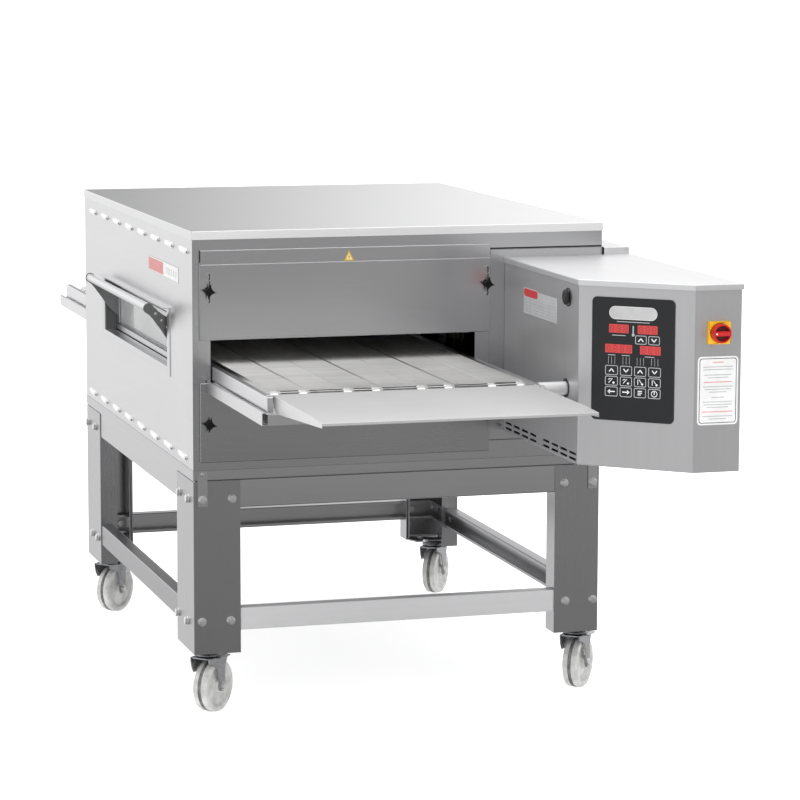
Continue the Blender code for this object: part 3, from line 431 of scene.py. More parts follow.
def join(solids):
    verts = []
    faces = []
    for v, f in solids:
        start = len(verts)
        verts += v
        faces += [tuple(start + i for i in face) for face in f]
    return verts, faces


def turned_z(solid, cx, cy, degrees):
    c = math.cos(math.radians(degrees))
    s = math.sin(math.radians(degrees))
    return [(cx + (x - cx) * c - (y - cy) * s, cy + (x - cx) * s + (y - cy) * c, z)
            for x, y, z in solid[0]], solid[1]


def mirrored_y(solid, about):
    return [(x, 2.0 * about - y, z) for x, y, z in solid[0]], solid[1]


SMOOTH_UNDER = math.radians(36.0)


def finish_mesh(obj, mat, weighted):
    """Smooth shading up to a fold angle, with flat faces kept flat."""
    mesh = obj.data
    mesh.materials.clear()
    mesh.materials.append(mat)
    for poly in mesh.polygons:
        poly.use_smooth = True
        poly.material_index = 0
    mesh.set_sharp_from_angle(angle=SMOOTH_UNDER)
    if weighted:
        fair = obj.modifiers.new("flat_faces", "WEIGHTED_NORMAL")
        fair.keep_sharp = True


def round_edges(bm, edges, offset, steps):
    bmesh.ops.bevel(bm, geom=edges, offset=offset * MM, offset_type="OFFSET", segments=steps,
                    profile=0.5, affect="EDGES", clamp_overlap=True)


def show(mesh, bm, mat, weighted, body, instead_of):
    """Object from a finished shape, riding on a CAD body."""
    bm.to_mesh(mesh)
    bm.free()
    obj = placed(mesh.name, mesh)
    finish_mesh(obj, mat, weighted)
    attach(obj, body)
    if instead_of:
        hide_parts(*instead_of)


def piece(name, solids, mat, body="oven", instead_of=(), bevel=0.0):
    """One visual object from solids in construction millimetres."""
    verts, faces = join(solids)
    mesh = bpy.data.meshes.new(name)
    mesh.from_pydata([at(*p) for p in verts], [], faces)
    bm = bmesh.new()
    bm.from_mesh(mesh)
    bmesh.ops.recalc_face_normals(bm, faces=bm.faces)
    if bevel:
        sharp = [e for e in bm.edges if e.calc_face_angle(0.0) > math.radians(40.0)]
        round_edges(bm, sharp, bevel, 2)
    show(mesh, bm, mat, bool(bevel), body, instead_of)


THIN_FACE = 0.0026


def refined(node, mat, fold):
    """The CAD node's own shape with its sheet folds rounded, shown instead of the node."""
    bm = bmesh.new()
    bm.from_mesh(frame["nodes"][node].data)
    bmesh.ops.remove_doubles(bm, verts=bm.verts, dist=0.00002)
    bmesh.ops.dissolve_limit(bm, angle_limit=math.radians(1.0), verts=bm.verts, edges=bm.edges)
    sheet_edges = set()
    for face in bm.faces:
        if 2.0 * face.calc_area() / max(face.calc_perimeter(), 1e-6) < THIN_FACE:
            sheet_edges.add(face.index)
    folds = [e for e in bm.edges if len(e.link_faces) == 2 and e.is_convex
             and e.calc_face_angle(0.0) > math.radians(30.0)
             and not sheet_edges & {f.index for f in e.link_faces}]
    round_edges(bm, folds, fold, 3)
    show(bpy.data.meshes.new(node + "_sheet"), bm, mat, True, NODE_BODY[node], (node,))


def dress(node, mat):
    """Gives a CAD node its final material."""
    mesh = frame["nodes"][node].data
    mesh.materials.clear()
    mesh.materials.append(mat)


# ---------------------------------------------------------------- small hardware
def hex_bolt(axis, u, v, seat, out):
    """M10 hexagon head with a chamfered top on a washer; out is -1 or 1 along the axis."""
    washer = bore([(5.2, seat), (10.6, seat), (10.6, seat + out * 1.6), (9.9, seat + out * 2.0),
                   (5.2, seat + out * 2.0)], axis, u, v, 32)
    head = prism(circle(u, v, 9.6, 6, 0.3), axis, seat + out * 2.0, seat + out * 7.4)
    crown = turned([(8.4, seat + out * 7.4), (7.9, seat + out * 8.2), (3.0, seat + out * 8.3)],
                   axis, u, v, 24)
    return [washer, head, crown]


def pan_screw(axis, u, v, seat, out, r=4.2):
    """Small pan head screw with a cross recess shown as a raised-edge dimple."""
    return [turned([(r, seat), (r, seat + out * 1.2), (r * 0.86, seat + out * 2.2),
                    (r * 0.5, seat + out * 2.7), (r * 0.22, seat + out * 2.1),
                    (r * 0.1, seat + out * 1.9)], axis, u, v, 20)]


def rivet(axis, u, v, seat, out, r=5.0):
    """Domed rivet head."""
    rings = [(r * math.cos(math.radians(a)), seat + out * 0.55 * r * math.sin(math.radians(a)))
             for a in range(0, 85, 12)]
    return [turned(rings, axis, u, v, 24)]


# ---------------------------------------------------------------- finishes
BRUSHED = "brushed_stainless"
BRIGHT = "bright_stainless"
FRONT_STEEL = brushed("front_steel", 0.61, 0.24, "X")
COVER_STEEL = brushed("cover_steel", 0.54, 0.26, "X")
# Painted highlight: a lighter, less metallic copy of the roof steel for the strip on the roof's
# front lip.
LIP_HIGHLIGHT_STEEL = brushed("lip_highlight_steel", (0.9, 0.9, 0.9), 0.42, "X", metal=0.55)
# Painted highlight: a lighter, less metallic copy of the side steel, so the pressed louvre hoods
# read bright.
LOUVRE_HIGHLIGHT_STEEL = brushed("louvre_highlight_steel", (0.92, 0.92, 0.92), 0.4, "Y", metal=0.6)
STRAP_STEEL = brushed("strap_steel", 0.70, 0.3, "Z")
SIDE_STEEL = brushed("side_steel", 0.74, 0.3, "Y")
ROOF_STEEL = brushed("roof_steel", 0.75, 0.22, "Y")
LID_STEEL = brushed("lid_steel", 0.80, 0.42, "Y", metal=0.82)
UPRIGHT_STEEL = brushed("upright_steel", 0.52, 0.28, "Z", contrast=0.006, haze=0.03)
BOX_STEEL = brushed("box_steel", 0.60, 0.44, "Z", metal=0.8)
RAIL_STEEL = brushed("rail_steel", 0.80, 0.3, "Y")
CROSS_STEEL = brushed("cross_steel", 0.64, 0.34, "X")
# Painted reflection: a lighter, less metallic copy of the rail steel on the front lower rail,
# standing in for the bright reflection along its face.
LOW_RAIL_REFLECTION_STEEL = brushed("low_rail_reflection_steel", 0.82, 0.44, "X", metal=0.6)
SIDE_RAIL_STEEL = brushed("side_rail_steel", 0.43, 0.34, "Y")
# Painted shade: dark steel for sheets on the jambs of the door recess.
SHADE_LINING_STEEL = brushed("shade_lining_steel", (0.26, 0.26, 0.265), 0.36, "Z", contrast=0.1)
ARM_STEEL = brushed("arm_steel", (0.36, 0.36, 0.365), 0.4, "X")
TRAY_STEEL = brushed("tray_steel", (0.78, 0.78, 0.78), 0.42, "X", contrast=0.02, metal=0.8)
SHAFT_STEEL = brushed("shaft_steel", (0.52, 0.515, 0.51), 0.26, "X", contrast=0.08)
COLLAR_STEEL = brushed("collar_steel", (0.92, 0.92, 0.92), 0.42, "X", contrast=0.04, metal=0.7)
CHAMBER_STEEL = brushed("chamber_steel", (0.30, 0.29, 0.28), 0.5, "Y", contrast=0.14, haze=0.1)
BELT_STEEL = brushed("belt_steel", (0.76, 0.755, 0.745), 0.4, "X", contrast=0.12, metal=0.9)
BOLT_STEEL = zinc_finish("bolt_zinc", (0.96, 0.96, 0.97), 0.34)
FORK_ZINC = zinc_finish("fork_zinc", (0.48, 0.485, 0.50), 0.3)
NYLON = nylon_finish()
GLASS = glass_finish()
TREAD = plastic("worn_tread", (0.15, 0.15, 0.147), 0.6, grain=420.0, depth=0.2, contrast=0.35)
BLACK = plastic("black_plastic", (0.018, 0.018, 0.02), 0.38)
KNOB_BLACK = plastic("knob_plastic", (0.005, 0.005, 0.0055), 0.42, shine=0.25)
OCHRE = plastic("ochre_print", (0.50, 0.32, 0.045), 0.45, grain=240.0)
PALE_YELLOW = plastic("pale_yellow_print", (0.86, 0.70, 0.28), 0.45, grain=240.0)
BADGE_PINK = plastic("badge_pink", (0.56, 0.20, 0.19), 0.4, grain=240.0)
BADGE_PRINT = plastic("badge_print", (0.46, 0.46, 0.46), 0.4, grain=240.0)
PILL_GREY = plastic("pill_grey", (0.45, 0.45, 0.455), 0.4, grain=240.0)
# Painted shade: near-black for pieces set where openings and gaps show only shade (louvre mouths,
# the gap over the service panel, the belt's noses).
PAINTED_SHADE_BLACK = plastic("painted_shade_black", (0.006, 0.006, 0.006), 0.8)
RED = plastic("red_plastic", (0.5, 0.008, 0.008), 0.32)
# Painted shade: a dark copy of the dial's red for the floor of its recess.
RECESS_SHADE_RED = plastic("recess_shade_red", (0.11, 0.004, 0.004), 0.5)
YELLOW = plastic("yellow_plastic", (0.82, 0.46, 0.008), 0.36)
FILM = plastic("keypad_film", (0.015, 0.0155, 0.017), 0.34, grain=240.0, shine=0.35)
KEY_FACE = plastic("key_face", (0.012, 0.012, 0.013), 0.25, grain=240.0)
PRINT_WHITE = plastic("white_print", (0.78, 0.78, 0.78), 0.4, grain=240.0)
PRINT_GREY = plastic("grey_print", (0.40, 0.41, 0.42), 0.4, grain=240.0)
PRINT_DARK = plastic("dark_print", (0.05, 0.05, 0.055), 0.4, grain=240.0)
LABEL_WHITE = plastic("label_film", (0.68, 0.68, 0.68), 0.45, grain=240.0)
LABEL_GREY = plastic("rating_plate_film", (0.52, 0.525, 0.53), 0.4, grain=240.0)
BADGE_RED = plastic("badge_red", (0.62, 0.035, 0.035), 0.35, grain=240.0)
PINK = plastic("pale_red_print", (0.62, 0.22, 0.22), 0.45, grain=240.0)
MOTOR_GREY = plastic("motor_paint", (0.11, 0.12, 0.135), 0.5, grain=120.0, depth=0.2)
LIT_RED = glow("lit_segment", (0.2, 0.01, 0.01), 0.02)
DARK_RED = glow("display_window", (0.55, 0.05, 0.05), 0.07)

SHEET_NODES = (
    (ROOF_STEEL, BRIGHT, 2.4, "roof_panel"),
    (SIDE_STEEL, BRIGHT, 0.7, "left_side_panel"),
    (SIDE_STEEL, BRUSHED, 0.5, "right_side_panel"),
    (FRONT_STEEL, BRUSHED, 0.5, "front_frame", "rear_frame"),
    (CROSS_STEEL, BRUSHED, 2.0, "base_pan"),
    (FRONT_STEEL, BRUSHED, 2.0, "front_service_panel", "front_hood_strip", "front_upper_cover",
     "rear_upper_cover"),
    (COVER_STEEL, BRUSHED, 2.0, "front_lower_cover", "rear_lower_cover"),
    (SIDE_STEEL, BRUSHED, 1.2, "side_door"),
    (RAIL_STEEL, BRIGHT, 2.4, "conveyor_left_rail", "conveyor_right_rail"),
    (TRAY_STEEL, BRIGHT, 0.6, "exit_tray"),
    (BOX_STEEL, BRUSHED, 2.4, "control_box"),
    (LID_STEEL, BRIGHT, 2.4, "control_box_lid"),
    (LID_STEEL, BRUSHED, 2.4, "right_side_housing"),
    (UPRIGHT_STEEL, BRUSHED, 3.0, "stand_front_left_leg", "stand_front_right_leg",
     "stand_rear_left_leg", "stand_rear_right_leg"),
    (CROSS_STEEL, BRUSHED, 3.0, "stand_top_frame", "stand_rear_lower_rail"),
    (LOW_RAIL_REFLECTION_STEEL, BRUSHED, 3.0, "stand_front_lower_rail"),
    (SIDE_RAIL_STEEL, BRUSHED, 3.0, "stand_left_lower_rail", "stand_right_lower_rail"),
)
PLAIN_NODES = (
    (CHAMBER_STEEL, "chamber_liner", "upper_air_duct", "lower_air_duct", "fan_impeller",
     "heating_element"),
    (MOTOR_GREY, "fan_motor", "gearmotor"),
    (GLASS, "door_glass"),
    (FILM, "keypad_overlay"),
    (YELLOW, "isolator_plate"),
    (RAIL_STEEL, "front_crumb_pan", "rear_crumb_pan"),
)


def make_sheets():
    for mat, slot, fold, *nodes in SHEET_NODES:
        for node in nodes:
            refined(node, mat, fold)
    for mat, *nodes in PLAIN_NODES:
        for node in nodes:
            dress(node, mat)


# ---------------------------------------------------------------- conveyor belt and shafts
WIRE_R = 0.9
WIRE_PITCH = 12.6
LANES = 7
BELT_TURN_R = 19.1
JOINT = 4.0
WIRE_SIDES = 6


def belt_point(s, straight, front, rear, centre_z):
    """Point on the belt's loop at distance s, with its outward direction in the Y-Z plane."""
    arc = math.pi * BELT_TURN_R
    s = s % (2.0 * straight + 2.0 * arc)
    if s < straight:
        return (front + s, centre_z + BELT_TURN_R), (0.0, 1.0)
    if s < straight + arc:
        a = (s - straight) / BELT_TURN_R
        out = (math.sin(a), math.cos(a))
        return (rear + out[0] * BELT_TURN_R, centre_z + out[1] * BELT_TURN_R), out
    if s < 2.0 * straight + arc:
        return (rear - (s - straight - arc), centre_z - BELT_TURN_R), (0.0, -1.0)
    a = (s - 2.0 * straight - arc) / BELT_TURN_R
    out = (-math.sin(a), -math.cos(a))
    return (front + out[0] * BELT_TURN_R, centre_z + out[1] * BELT_TURN_R), out


def make_belt():
    """Flat wire belt: each wire steps half a pitch at every lane and hooks round the next."""
    x0 = low("wire_belt").x + WIRE_R
    x1 = high("wire_belt").x - WIRE_R
    centre_z = mid("wire_belt").z
    front = mid("drive_shaft").y
    rear = mid("idler_shaft").y
    straight = rear - front
    around_loop = 2.0 * straight + 2.0 * math.pi * BELT_TURN_R
    count = int(around_loop / WIRE_PITCH / 2.0) * 2
    pitch = around_loop / count
    lane = (x1 - x0) / LANES
    verts = []
    faces = []
    for i in range(count):
        path = []
        for k in range(LANES):
            step = pitch * (i + (0.5 if k % 2 else 0.0))
            hook = pitch * 0.62 if k % 2 else -pitch * 0.12
            path.append((x0 + lane * k + (JOINT if k else 0.0), step))
            path.append((x0 + lane * (k + 1) - (JOINT if k < LANES - 1 else 0.0), step))
            if k < LANES - 1:
                path.append((x0 + lane * (k + 1), step - hook + pitch * 0.25))
        start = len(verts)
        for x, s in path:
            (y, z), out = belt_point(s, straight, front, rear, centre_z)
            for n in range(WIRE_SIDES):
                a = math.tau * n / WIRE_SIDES
                lift = WIRE_R * math.sin(a)
                slide = WIRE_R * math.cos(a)
                verts.append((x, y + out[0] * lift + out[1] * slide,
                              z + out[1] * lift - out[0] * slide))
        for p in range(len(path) - 1):
            for n in range(WIRE_SIDES):
                m = (n + 1) % WIRE_SIDES
                a = start + p * WIRE_SIDES
                faces.append((a + n, a + m, a + WIRE_SIDES + m, a + WIRE_SIDES + n))
        faces.append(tuple(start + n for n in range(WIRE_SIDES)))
        last = start + (len(path) - 1) * WIRE_SIDES
        faces.append(tuple(last + n for n in range(WIRE_SIDES)))
    piece("wire_belt_weave", [(verts, faces)], BELT_STEEL,
          instead_of=("wire_belt",))


GAP_TURN_R = 19.6
TOOTH_TIP = 18.0
TOOTH_ROOT = 14.6
TEETH = 9
SHAFT_R = 10.0
SLEEVE_X = (690.0, 757.0)
SPROCKETS = (80.6, 146.2, 246.8, 312.4, 415.6, 478.3, 579.9, 646.5)


def sprocket(x, y, z):
    """Toothed hub with a plain collar."""
    ring = []
    for i in range(TEETH):
        for part, r in ((0.0, TOOTH_ROOT), (0.28, TOOTH_ROOT), (0.42, TOOTH_TIP),
                        (0.58, TOOTH_TIP), (0.72, TOOTH_ROOT)):
            a = math.tau * (i + part) / TEETH
            ring.append((y + r * math.cos(a), z + r * math.sin(a)))
    wheel = prism(ring, "X", x - 5.5, x + 5.5)
    collar = turned([(SHAFT_R - 0.5, x - 9.0), (13.2, x - 9.0), (14.0, x - 8.2),
                     (14.0, x + 8.2), (13.2, x + 9.0), (SHAFT_R - 0.5, x + 9.0)],
                    "X", y, z, 32)
    return [wheel, collar]


def make_shafts():
    for node, body in (("drive_shaft", "drive"), ("idler_shaft", "idler")):
        x0 = low(node).x
        x1 = high(node).x
        y = mid(node).y
        z = mid(node).z
        bar = turned([(SHAFT_R - 1.2, x0), (SHAFT_R, x0 + 1.2), (SHAFT_R, x1 - 1.2),
                      (SHAFT_R - 1.2, x1)], "X", y, z, 40)
        piece(node + "_turned", [bar], SHAFT_STEEL, body, (node,))
        wheels = [part for x in SPROCKETS for part in sprocket(x, y, z)]
        piece(node + "_sprockets", wheels, COLLAR_STEEL, body)
        if body == "drive":
            sleeve = [(SHAFT_R - 0.5, SLEEVE_X[0]), (14.0, SLEEVE_X[0]), (15.0, SLEEVE_X[0] + 1.0),
                      (15.0, SLEEVE_X[1] - 1.0), (14.0, SLEEVE_X[1]), (SHAFT_R - 0.5, SLEEVE_X[1])]
            piece("coupling_sleeve", [turned(sleeve, "X", y, z, 48)], COLLAR_STEEL,
                  body)


def make_nose_gap_shades():
    """Painted shade: dark rods between the wires where the belt turns round each shaft, standing in
    for the shade in the loop.
    """
    gap_shades = []
    centre_z = mid("wire_belt").z
    for node, side in (("drive_shaft", -1.0), ("idler_shaft", 1.0)):
        centre_y = mid(node).y
        for a in (math.radians(44.0), math.radians(63.0)):
            y = centre_y + side * GAP_TURN_R * math.cos(a)
            z = centre_z + GAP_TURN_R * math.sin(a)
            for x0, x1 in zip(SPROCKETS, SPROCKETS[1:]):
                gap_shades.append(turned([(0.9, x0 + 13.0), (0.9, x1 - 13.0)], "X", y, z, 8))
    piece("belt_nose_gap_shades", gap_shades, PAINTED_SHADE_BLACK)


# ---------------------------------------------------------------- hardware on the body
LEFT_BOLTS = ((51.0, -630.0), (146.0, -630.0), (67.0, -924.0), (167.0, -924.0),
              (1183.0, -627.0), (1279.0, -627.0), (1160.0, -924.0), (1231.0, -924.0))
FRONT_BOLTS = ((21.0, -626.0), (92.0, -626.0), (19.0, -915.5), (88.0, -915.5),
               (911.0, -626.0), (983.0, -626.0), (917.0, -915.5), (987.0, -915.5))
STRAPS = (21.0, 983.0)
STRAP_W = 24.0
STRAP_FACE = 3.4
STRAP_BACK = 1.3
STRAP_LEVEL = -700.0
NUT_R = 9.6
NUT_H = 8.0
LOUVRES = ((-50.5, 50.0), (-536.5, 73.0))
LOUVRE_PITCH = 157.3
LOUVRE_COUNT = 8
RAIL_BACK = 4.6


def make_stand_bolts():
    parts = []
    nuts = []
    for axis, far, places in (("Y", high("rear_frame").y, FRONT_BOLTS),
                              ("X", high("right_side_panel").x, LEFT_BOLTS)):
        for u, v in places:
            on_strap = axis == "Y" and u in STRAPS and v > STRAP_LEVEL
            parts += hex_bolt(axis, u, v, -STRAP_FACE if on_strap else 0.0, -1.0)
            parts += hex_bolt(axis, u, v, far, 1.0)
            for start in (RAIL_BACK, far - RAIL_BACK - NUT_H):
                nuts.append(prism(circle(u, v, NUT_R, 6), axis, start, start + NUT_H))
    piece("stand_bolts", parts, BOLT_STEEL, bevel=0.4)
    piece("stand_nuts", nuts, BOLT_STEEL, bevel=0.5)


def make_straps():
    depth = high("rear_frame").y
    parts = []
    screws = []
    for x in STRAPS:
        outline = round_rect(x - STRAP_W / 2.0, x + STRAP_W / 2.0, -642.0, -557.6, 3.0, 4)
        parts.append(prism(outline, "Y", -STRAP_FACE, -STRAP_BACK))
        parts.append(prism(outline, "Y", depth + STRAP_BACK, depth + STRAP_FACE))
        screws += pan_screw("Y", x, -566.0, -STRAP_FACE, -1.0, 4.6)
        screws += pan_screw("Y", x, -566.0, depth + STRAP_FACE, 1.0, 4.6)
    piece("corner_straps", parts, STRAP_STEEL, bevel=0.4)
    piece("strap_screws", screws, BOLT_STEEL)


SERVICE_X = (719.6, 999.0)
CRESCENT_R = (6.3, 7.7)


def crescent(x, z, turn):
    """Arc shaped painted highlight on the lip at one end of a slot; turn is 1 for an arch and -1 for
    a cup.
    """
    inner_r, outer_r = CRESCENT_R
    arc = [math.radians(a) for a in range(25, 156, 13)]
    outer = [(x + outer_r * math.cos(a), z + turn * outer_r * math.sin(a)) for a in arc]
    inner = [(x + inner_r * math.cos(a), z + turn * inner_r * math.sin(a)) for a in arc]
    return outer + inner[::-1]


HOOD_LOOPS = ((-6.0, 1.9, 3.0), (-4.2, 4.9, 5.4), (-1.0, 7.6, 7.4), (16.0, 7.8, 7.8),
              (40.0, 5.9, 7.6), (66.0, 3.2, 7.0), (86.0, 1.2, 5.6), (92.0, 0.5, 4.0))
HOOD_STEPS = 12


def louvre_hood(y, z):
    """Raised hood of one louvre: round at the mouth, sinking into the sheet at the tail."""
    verts = []
    faces = []
    n = HOOD_STEPS + 1
    for along, out, half in HOOD_LOOPS:
        for k in range(n):
            a = math.pi * k / HOOD_STEPS
            verts.append((0.3 - out * math.sin(a), y + along, z + half * math.cos(a)))
    for i in range(len(HOOD_LOOPS) - 1):
        for k in range(n):
            m = (k + 1) % n
            faces.append((i * n + k, i * n + m, i * n + n + m, i * n + n + k))
    last = (len(HOOD_LOOPS) - 1) * n
    faces.append(tuple(range(n)))
    faces.append(tuple(last + k for k in range(n)))
    return verts, faces


def make_louvres():
    mouth_shades = []
    hoods = []
    turns = [math.pi * k / HOOD_STEPS for k in range(HOOD_STEPS + 1)]
    for z, first in LOUVRES:
        for i in range(LOUVRE_COUNT):
            y = first + LOUVRE_PITCH * i
            hoods.append(louvre_hood(y, z))
            # Painted shade: a dark half-disc just in front of each louvre's mouth stands in for the
            # shade inside the opening.
            half = [(-4.4 * math.sin(a), z - 1.4 + 3.0 * math.cos(a)) for a in turns]
            mouth_shades.append(prism(half, "Y", y - 5.4, y - 4.4))
    piece("louvre_hoods", hoods, LOUVRE_HIGHLIGHT_STEEL)
    piece("louvre_mouth_shades", mouth_shades, PAINTED_SHADE_BLACK)


def make_roof_band():
    """Painted highlight: a strip of lighter, less metallic steel over the roof's front fold,
    standing in for the reflection along the lip.
    """
    near = low("roof_panel")
    far = high("roof_panel")
    band = rect(near.x + 0.6, far.x - 0.6, near.z + 0.4, far.z - 1.6)
    piece("roof_front_highlight_band", [prism(band, "Y", near.y - 0.4, near.y - 0.03)], LIP_HIGHLIGHT_STEEL,
          bevel=0.15)


def make_panel_screws():
    screws = []
    for z in (-75.0, -505.0):
        for y in (60.0, 450.0, 858.0, 1248.0):
            screws += pan_screw("X", y, z, high("right_side_housing").x, 1.0)
    lid = high("control_box_lid")
    for y in (-120.0, -400.0):
        screws += pan_screw("X", y, lid.z - 8.0, lid.x, 1.0, 3.4)
    for x in (735.0, 860.0, 985.0):
        for z in (-70.0, -300.0, -535.0):
            screws += pan_screw("Y", x, z, high("rear_frame").y, 1.0)
    piece("panel_screws", screws, BOLT_STEEL)


def make_slots():
    """Slots of the front cover behind its two knobs: backing strips, and flat arcs of the lighter
    rail steel as painted highlights on the pressed lip edges.
    """
    backers = []
    lip_highlights = []
    face = low("front_upper_cover").y
    back = high("front_upper_cover").y
    for side in ("left", "right"):
        centre = mid("upper_%s_clamp_knob" % side)
        x = centre.x
        z = centre.z
        for z0, z1 in ((z - 36.0, z - 8.0), (z + 8.0, z + 50.0)):
            backers.append(prism(rect(x - 7.0, x + 7.0, z0, z1), "Y", back + 0.05, back + 0.2))
        # Painted highlight: thin arcs of lighter steel laid on the face where the pressed lip edges
        # catch the light.
        for lip_z, turn in ((z + 35.5, 1.0), (z + 31.5, -1.0), (z - 21.5, -1.0)):
            lip_highlights.append(prism(crescent(x, lip_z, turn), "Y", face - 0.2, face - 0.02))
    piece("slot_backers", backers, FRONT_STEEL)
    piece("slot_lip_highlights", lip_highlights, RAIL_STEEL, "front_cover")


TRIANGLES = (
    ("hood_triangle_border", ((372.0, -50.5), (358.6, -76.2), (385.4, -76.2)), OCHRE),
    ("hood_triangle", ((372.0, -56.2), (363.4, -73.4), (380.6, -73.4)), PALE_YELLOW),
    ("hood_triangle_mark", ((373.4, -61.0), (369.0, -67.0), (372.2, -67.0), (370.6, -72.0),
                            (375.0, -65.8), (371.8, -65.8)), OCHRE),
)


def make_hood_details():
    """Painted shade line over the service panel, rolled hem with a painted highlight, and warning
    triangle of the hood strip.
    """
    # Painted shade: a black strip stands in for the shaded gap between the hood strip and the
    # service panel.
    gap_shade = rect(SERVICE_X[0], SERVICE_X[1], -57.6, -54.4)
    piece("service_panel_gap_shade", [prism(gap_shade, "Y", -0.5, -0.05)], PAINTED_SHADE_BLACK,
          bevel=0.1)
    near = low("front_hood_strip")
    end = high("front_hood_strip").x
    # Partly painted highlight: a real rolled hem, given the lighter rail steel so the hood strip's
    # lower edge reads as a bright line.
    hem = turned([(0.5, near.x), (0.8, near.x + 0.4), (0.8, end - 0.4), (0.5, end)], "X",
                 near.y - 0.2, near.z + 0.6, 16)
    piece("hood_hem_highlight", [hem], RAIL_STEEL)
    for level, (name, outline, mat) in enumerate(TRIANGLES):
        y = near.y - 0.05 - 0.3 * level
        piece(name, [prism(list(outline), "Y", y - 0.28, y)], mat)


STAR_POWER = 0.62
STAR_TURN = math.radians(-10.0)


def star_outline(x, z, r, n=64):
    """Four pointed knob outline with hollow flanks."""
    pts = []
    for i in range(n):
        a = math.tau * i / n
        reach = r * (abs(math.cos(a)) ** STAR_POWER
                     + abs(math.sin(a)) ** STAR_POWER) ** (-1.0 / STAR_POWER)
        pts.append((x + reach * math.cos(a + STAR_TURN), z + reach * math.sin(a + STAR_TURN)))
    return pts


def star_knob(x, z, front):
    """Moulded star knob: three stacked outlines make the domed face."""
    parts = []
    for r, y0, y1 in ((17.4, front + 3.0, front + 10.0), (16.6, front + 1.2, front + 3.0),
                      (15.0, front, front + 1.2)):
        parts.append(prism(star_outline(x, z, r), "Y", y0, y1))
    parts.append(turned([(6.6, front + 10.0), (6.2, front + 16.0)], "Y", x, z, 24))
    return parts


def make_knobs():
    rear_y = high("rear_frame").y
    for row in ("upper", "lower"):
        for side in ("left", "right"):
            node = "%s_%s_clamp_knob" % (row, side)
            x, _, z = mid(node)
            front = low(node).y
            parts = star_knob(x, z, front)
            parts.append(turned([(3.0, front + 16.0), (3.0, high(node).y)], "Y", x, z, 12))
            piece(node + "_moulded", parts, KNOB_BLACK,
                  "%s_%s_knob" % (row, side), (node,), bevel=0.3)
            rear = [mirrored_y(part, rear_y / 2.0) for part in star_knob(x, z, front)]
            piece("rear_%s_%s_knob" % (row, side), rear, KNOB_BLACK, bevel=0.3)


# ---------------------------------------------------------------- side door
ARM_RIVETS = ((-26.0, -221.5), (-10.8, -237.5), (2.6, -254.0))
HANDLE_X = -43.5
HANDLE_Z = -207.5
HANDLE_R = 10.0
ARM_HEAD = 12.5
ARM_LOWER = [(-41.0, -224.0), (-33.0, -233.0), (-26.0, -243.0), (-12.5, -261.0),
             (-3.5, -275.5), (3.0, -285.0), (16.0, -298.0), (29.7, -309.0)]
ARM_UPPER = [(29.7, -236.0), (10.0, -233.0), (0.0, -228.5), (-8.0, -223.5), (-20.0, -214.5),
             (-27.5, -206.0)]


def make_door():
    handle_low = low("door_handle")
    handle_high = high("door_handle")
    bar_ends = [(HANDLE_R - 1.5, handle_low.y + 2.4), (HANDLE_R, handle_low.y + 4.0),
                (HANDLE_R, handle_high.y - 4.0), (HANDLE_R - 1.5, handle_high.y - 2.4)]
    piece("handle_bar", [turned(bar_ends, "Y", HANDLE_X, HANDLE_Z, 48)], SIDE_STEEL,
          "door", ("door_handle",))
    arm = [(HANDLE_X + ARM_HEAD * math.cos(math.radians(a)),
            HANDLE_Z + ARM_HEAD * math.sin(math.radians(a))) for a in range(15, 226, 10)]
    arm += ARM_LOWER + ARM_UPPER
    arms = [prism(arm, "Y", handle_low.y, handle_low.y + 3.0),
            prism(arm, "Y", handle_high.y - 3.0, handle_high.y)]
    piece("handle_arms", arms, ARM_STEEL, "door", bevel=0.4)
    parts = []
    for x, z in ARM_RIVETS:
        parts += rivet("Y", x, z, handle_low.y, -1.0, 3.6)
        parts += rivet("Y", x, z, handle_high.y, 1.0, 3.6)
    piece("handle_rivets", parts, BOLT_STEEL, "door")
    caps = []
    for y, out in ((handle_low.y + 2.5, 1.0), (handle_high.y - 2.5, -1.0)):
        caps.append(turned([(HANDLE_R + 0.6, y), (HANDLE_R + 0.6, y + out * 9.0),
                            (HANDLE_R + 0.2, y + out * 9.6), (HANDLE_R - 0.2, y + out * 9.6)],
                           "Y", HANDLE_X, HANDLE_Z, 40))
    piece("handle_collars", caps, RAIL_STEEL, "door")
    door_low = low("side_door")
    door_high = high("side_door")
    x = door_low.x
    outer = rect(door_low.y + 18.0, door_high.y - 18.0, door_low.z + 14.5, door_high.z - 13.0)
    inner = rect(door_low.y + 21.0, door_high.y - 21.0, door_low.z + 17.5, door_high.z - 16.0)
    piece("glass_bead", [frame_prism(outer, inner, "X", x - 0.9, x + 0.2)], BLACK,
          "door")
    # Painted shade: dark sheets on the jambs at both ends of the door recess stand in for the shade
    # inside it.
    shade_lining = []
    inside = (1.6, x - 0.6)
    for y0, y1 in ((door_high.y + 0.6, door_high.y + 1.6), (door_low.y - 1.6, door_low.y - 0.6)):
        shade_lining.append(prism(rect(y0, y1, door_low.z - 1.0, door_high.z + 4.4), "X", *inside))
    piece("jamb_shade_lining", shade_lining, SHADE_LINING_STEEL, bevel=0.2)
    hinges = []
    for y in (door_low.y + 60.0, door_high.y - 60.0):
        hinges.append(turned([(1.1, y - 24.0), (1.4, y - 23.7), (1.4, y + 23.7),
                              (1.1, y + 24.0)], "Y", door_low.x - 0.2, door_low.z + 3.4, 20))
    piece("hinge_knuckles", hinges, RAIL_STEEL, "door")


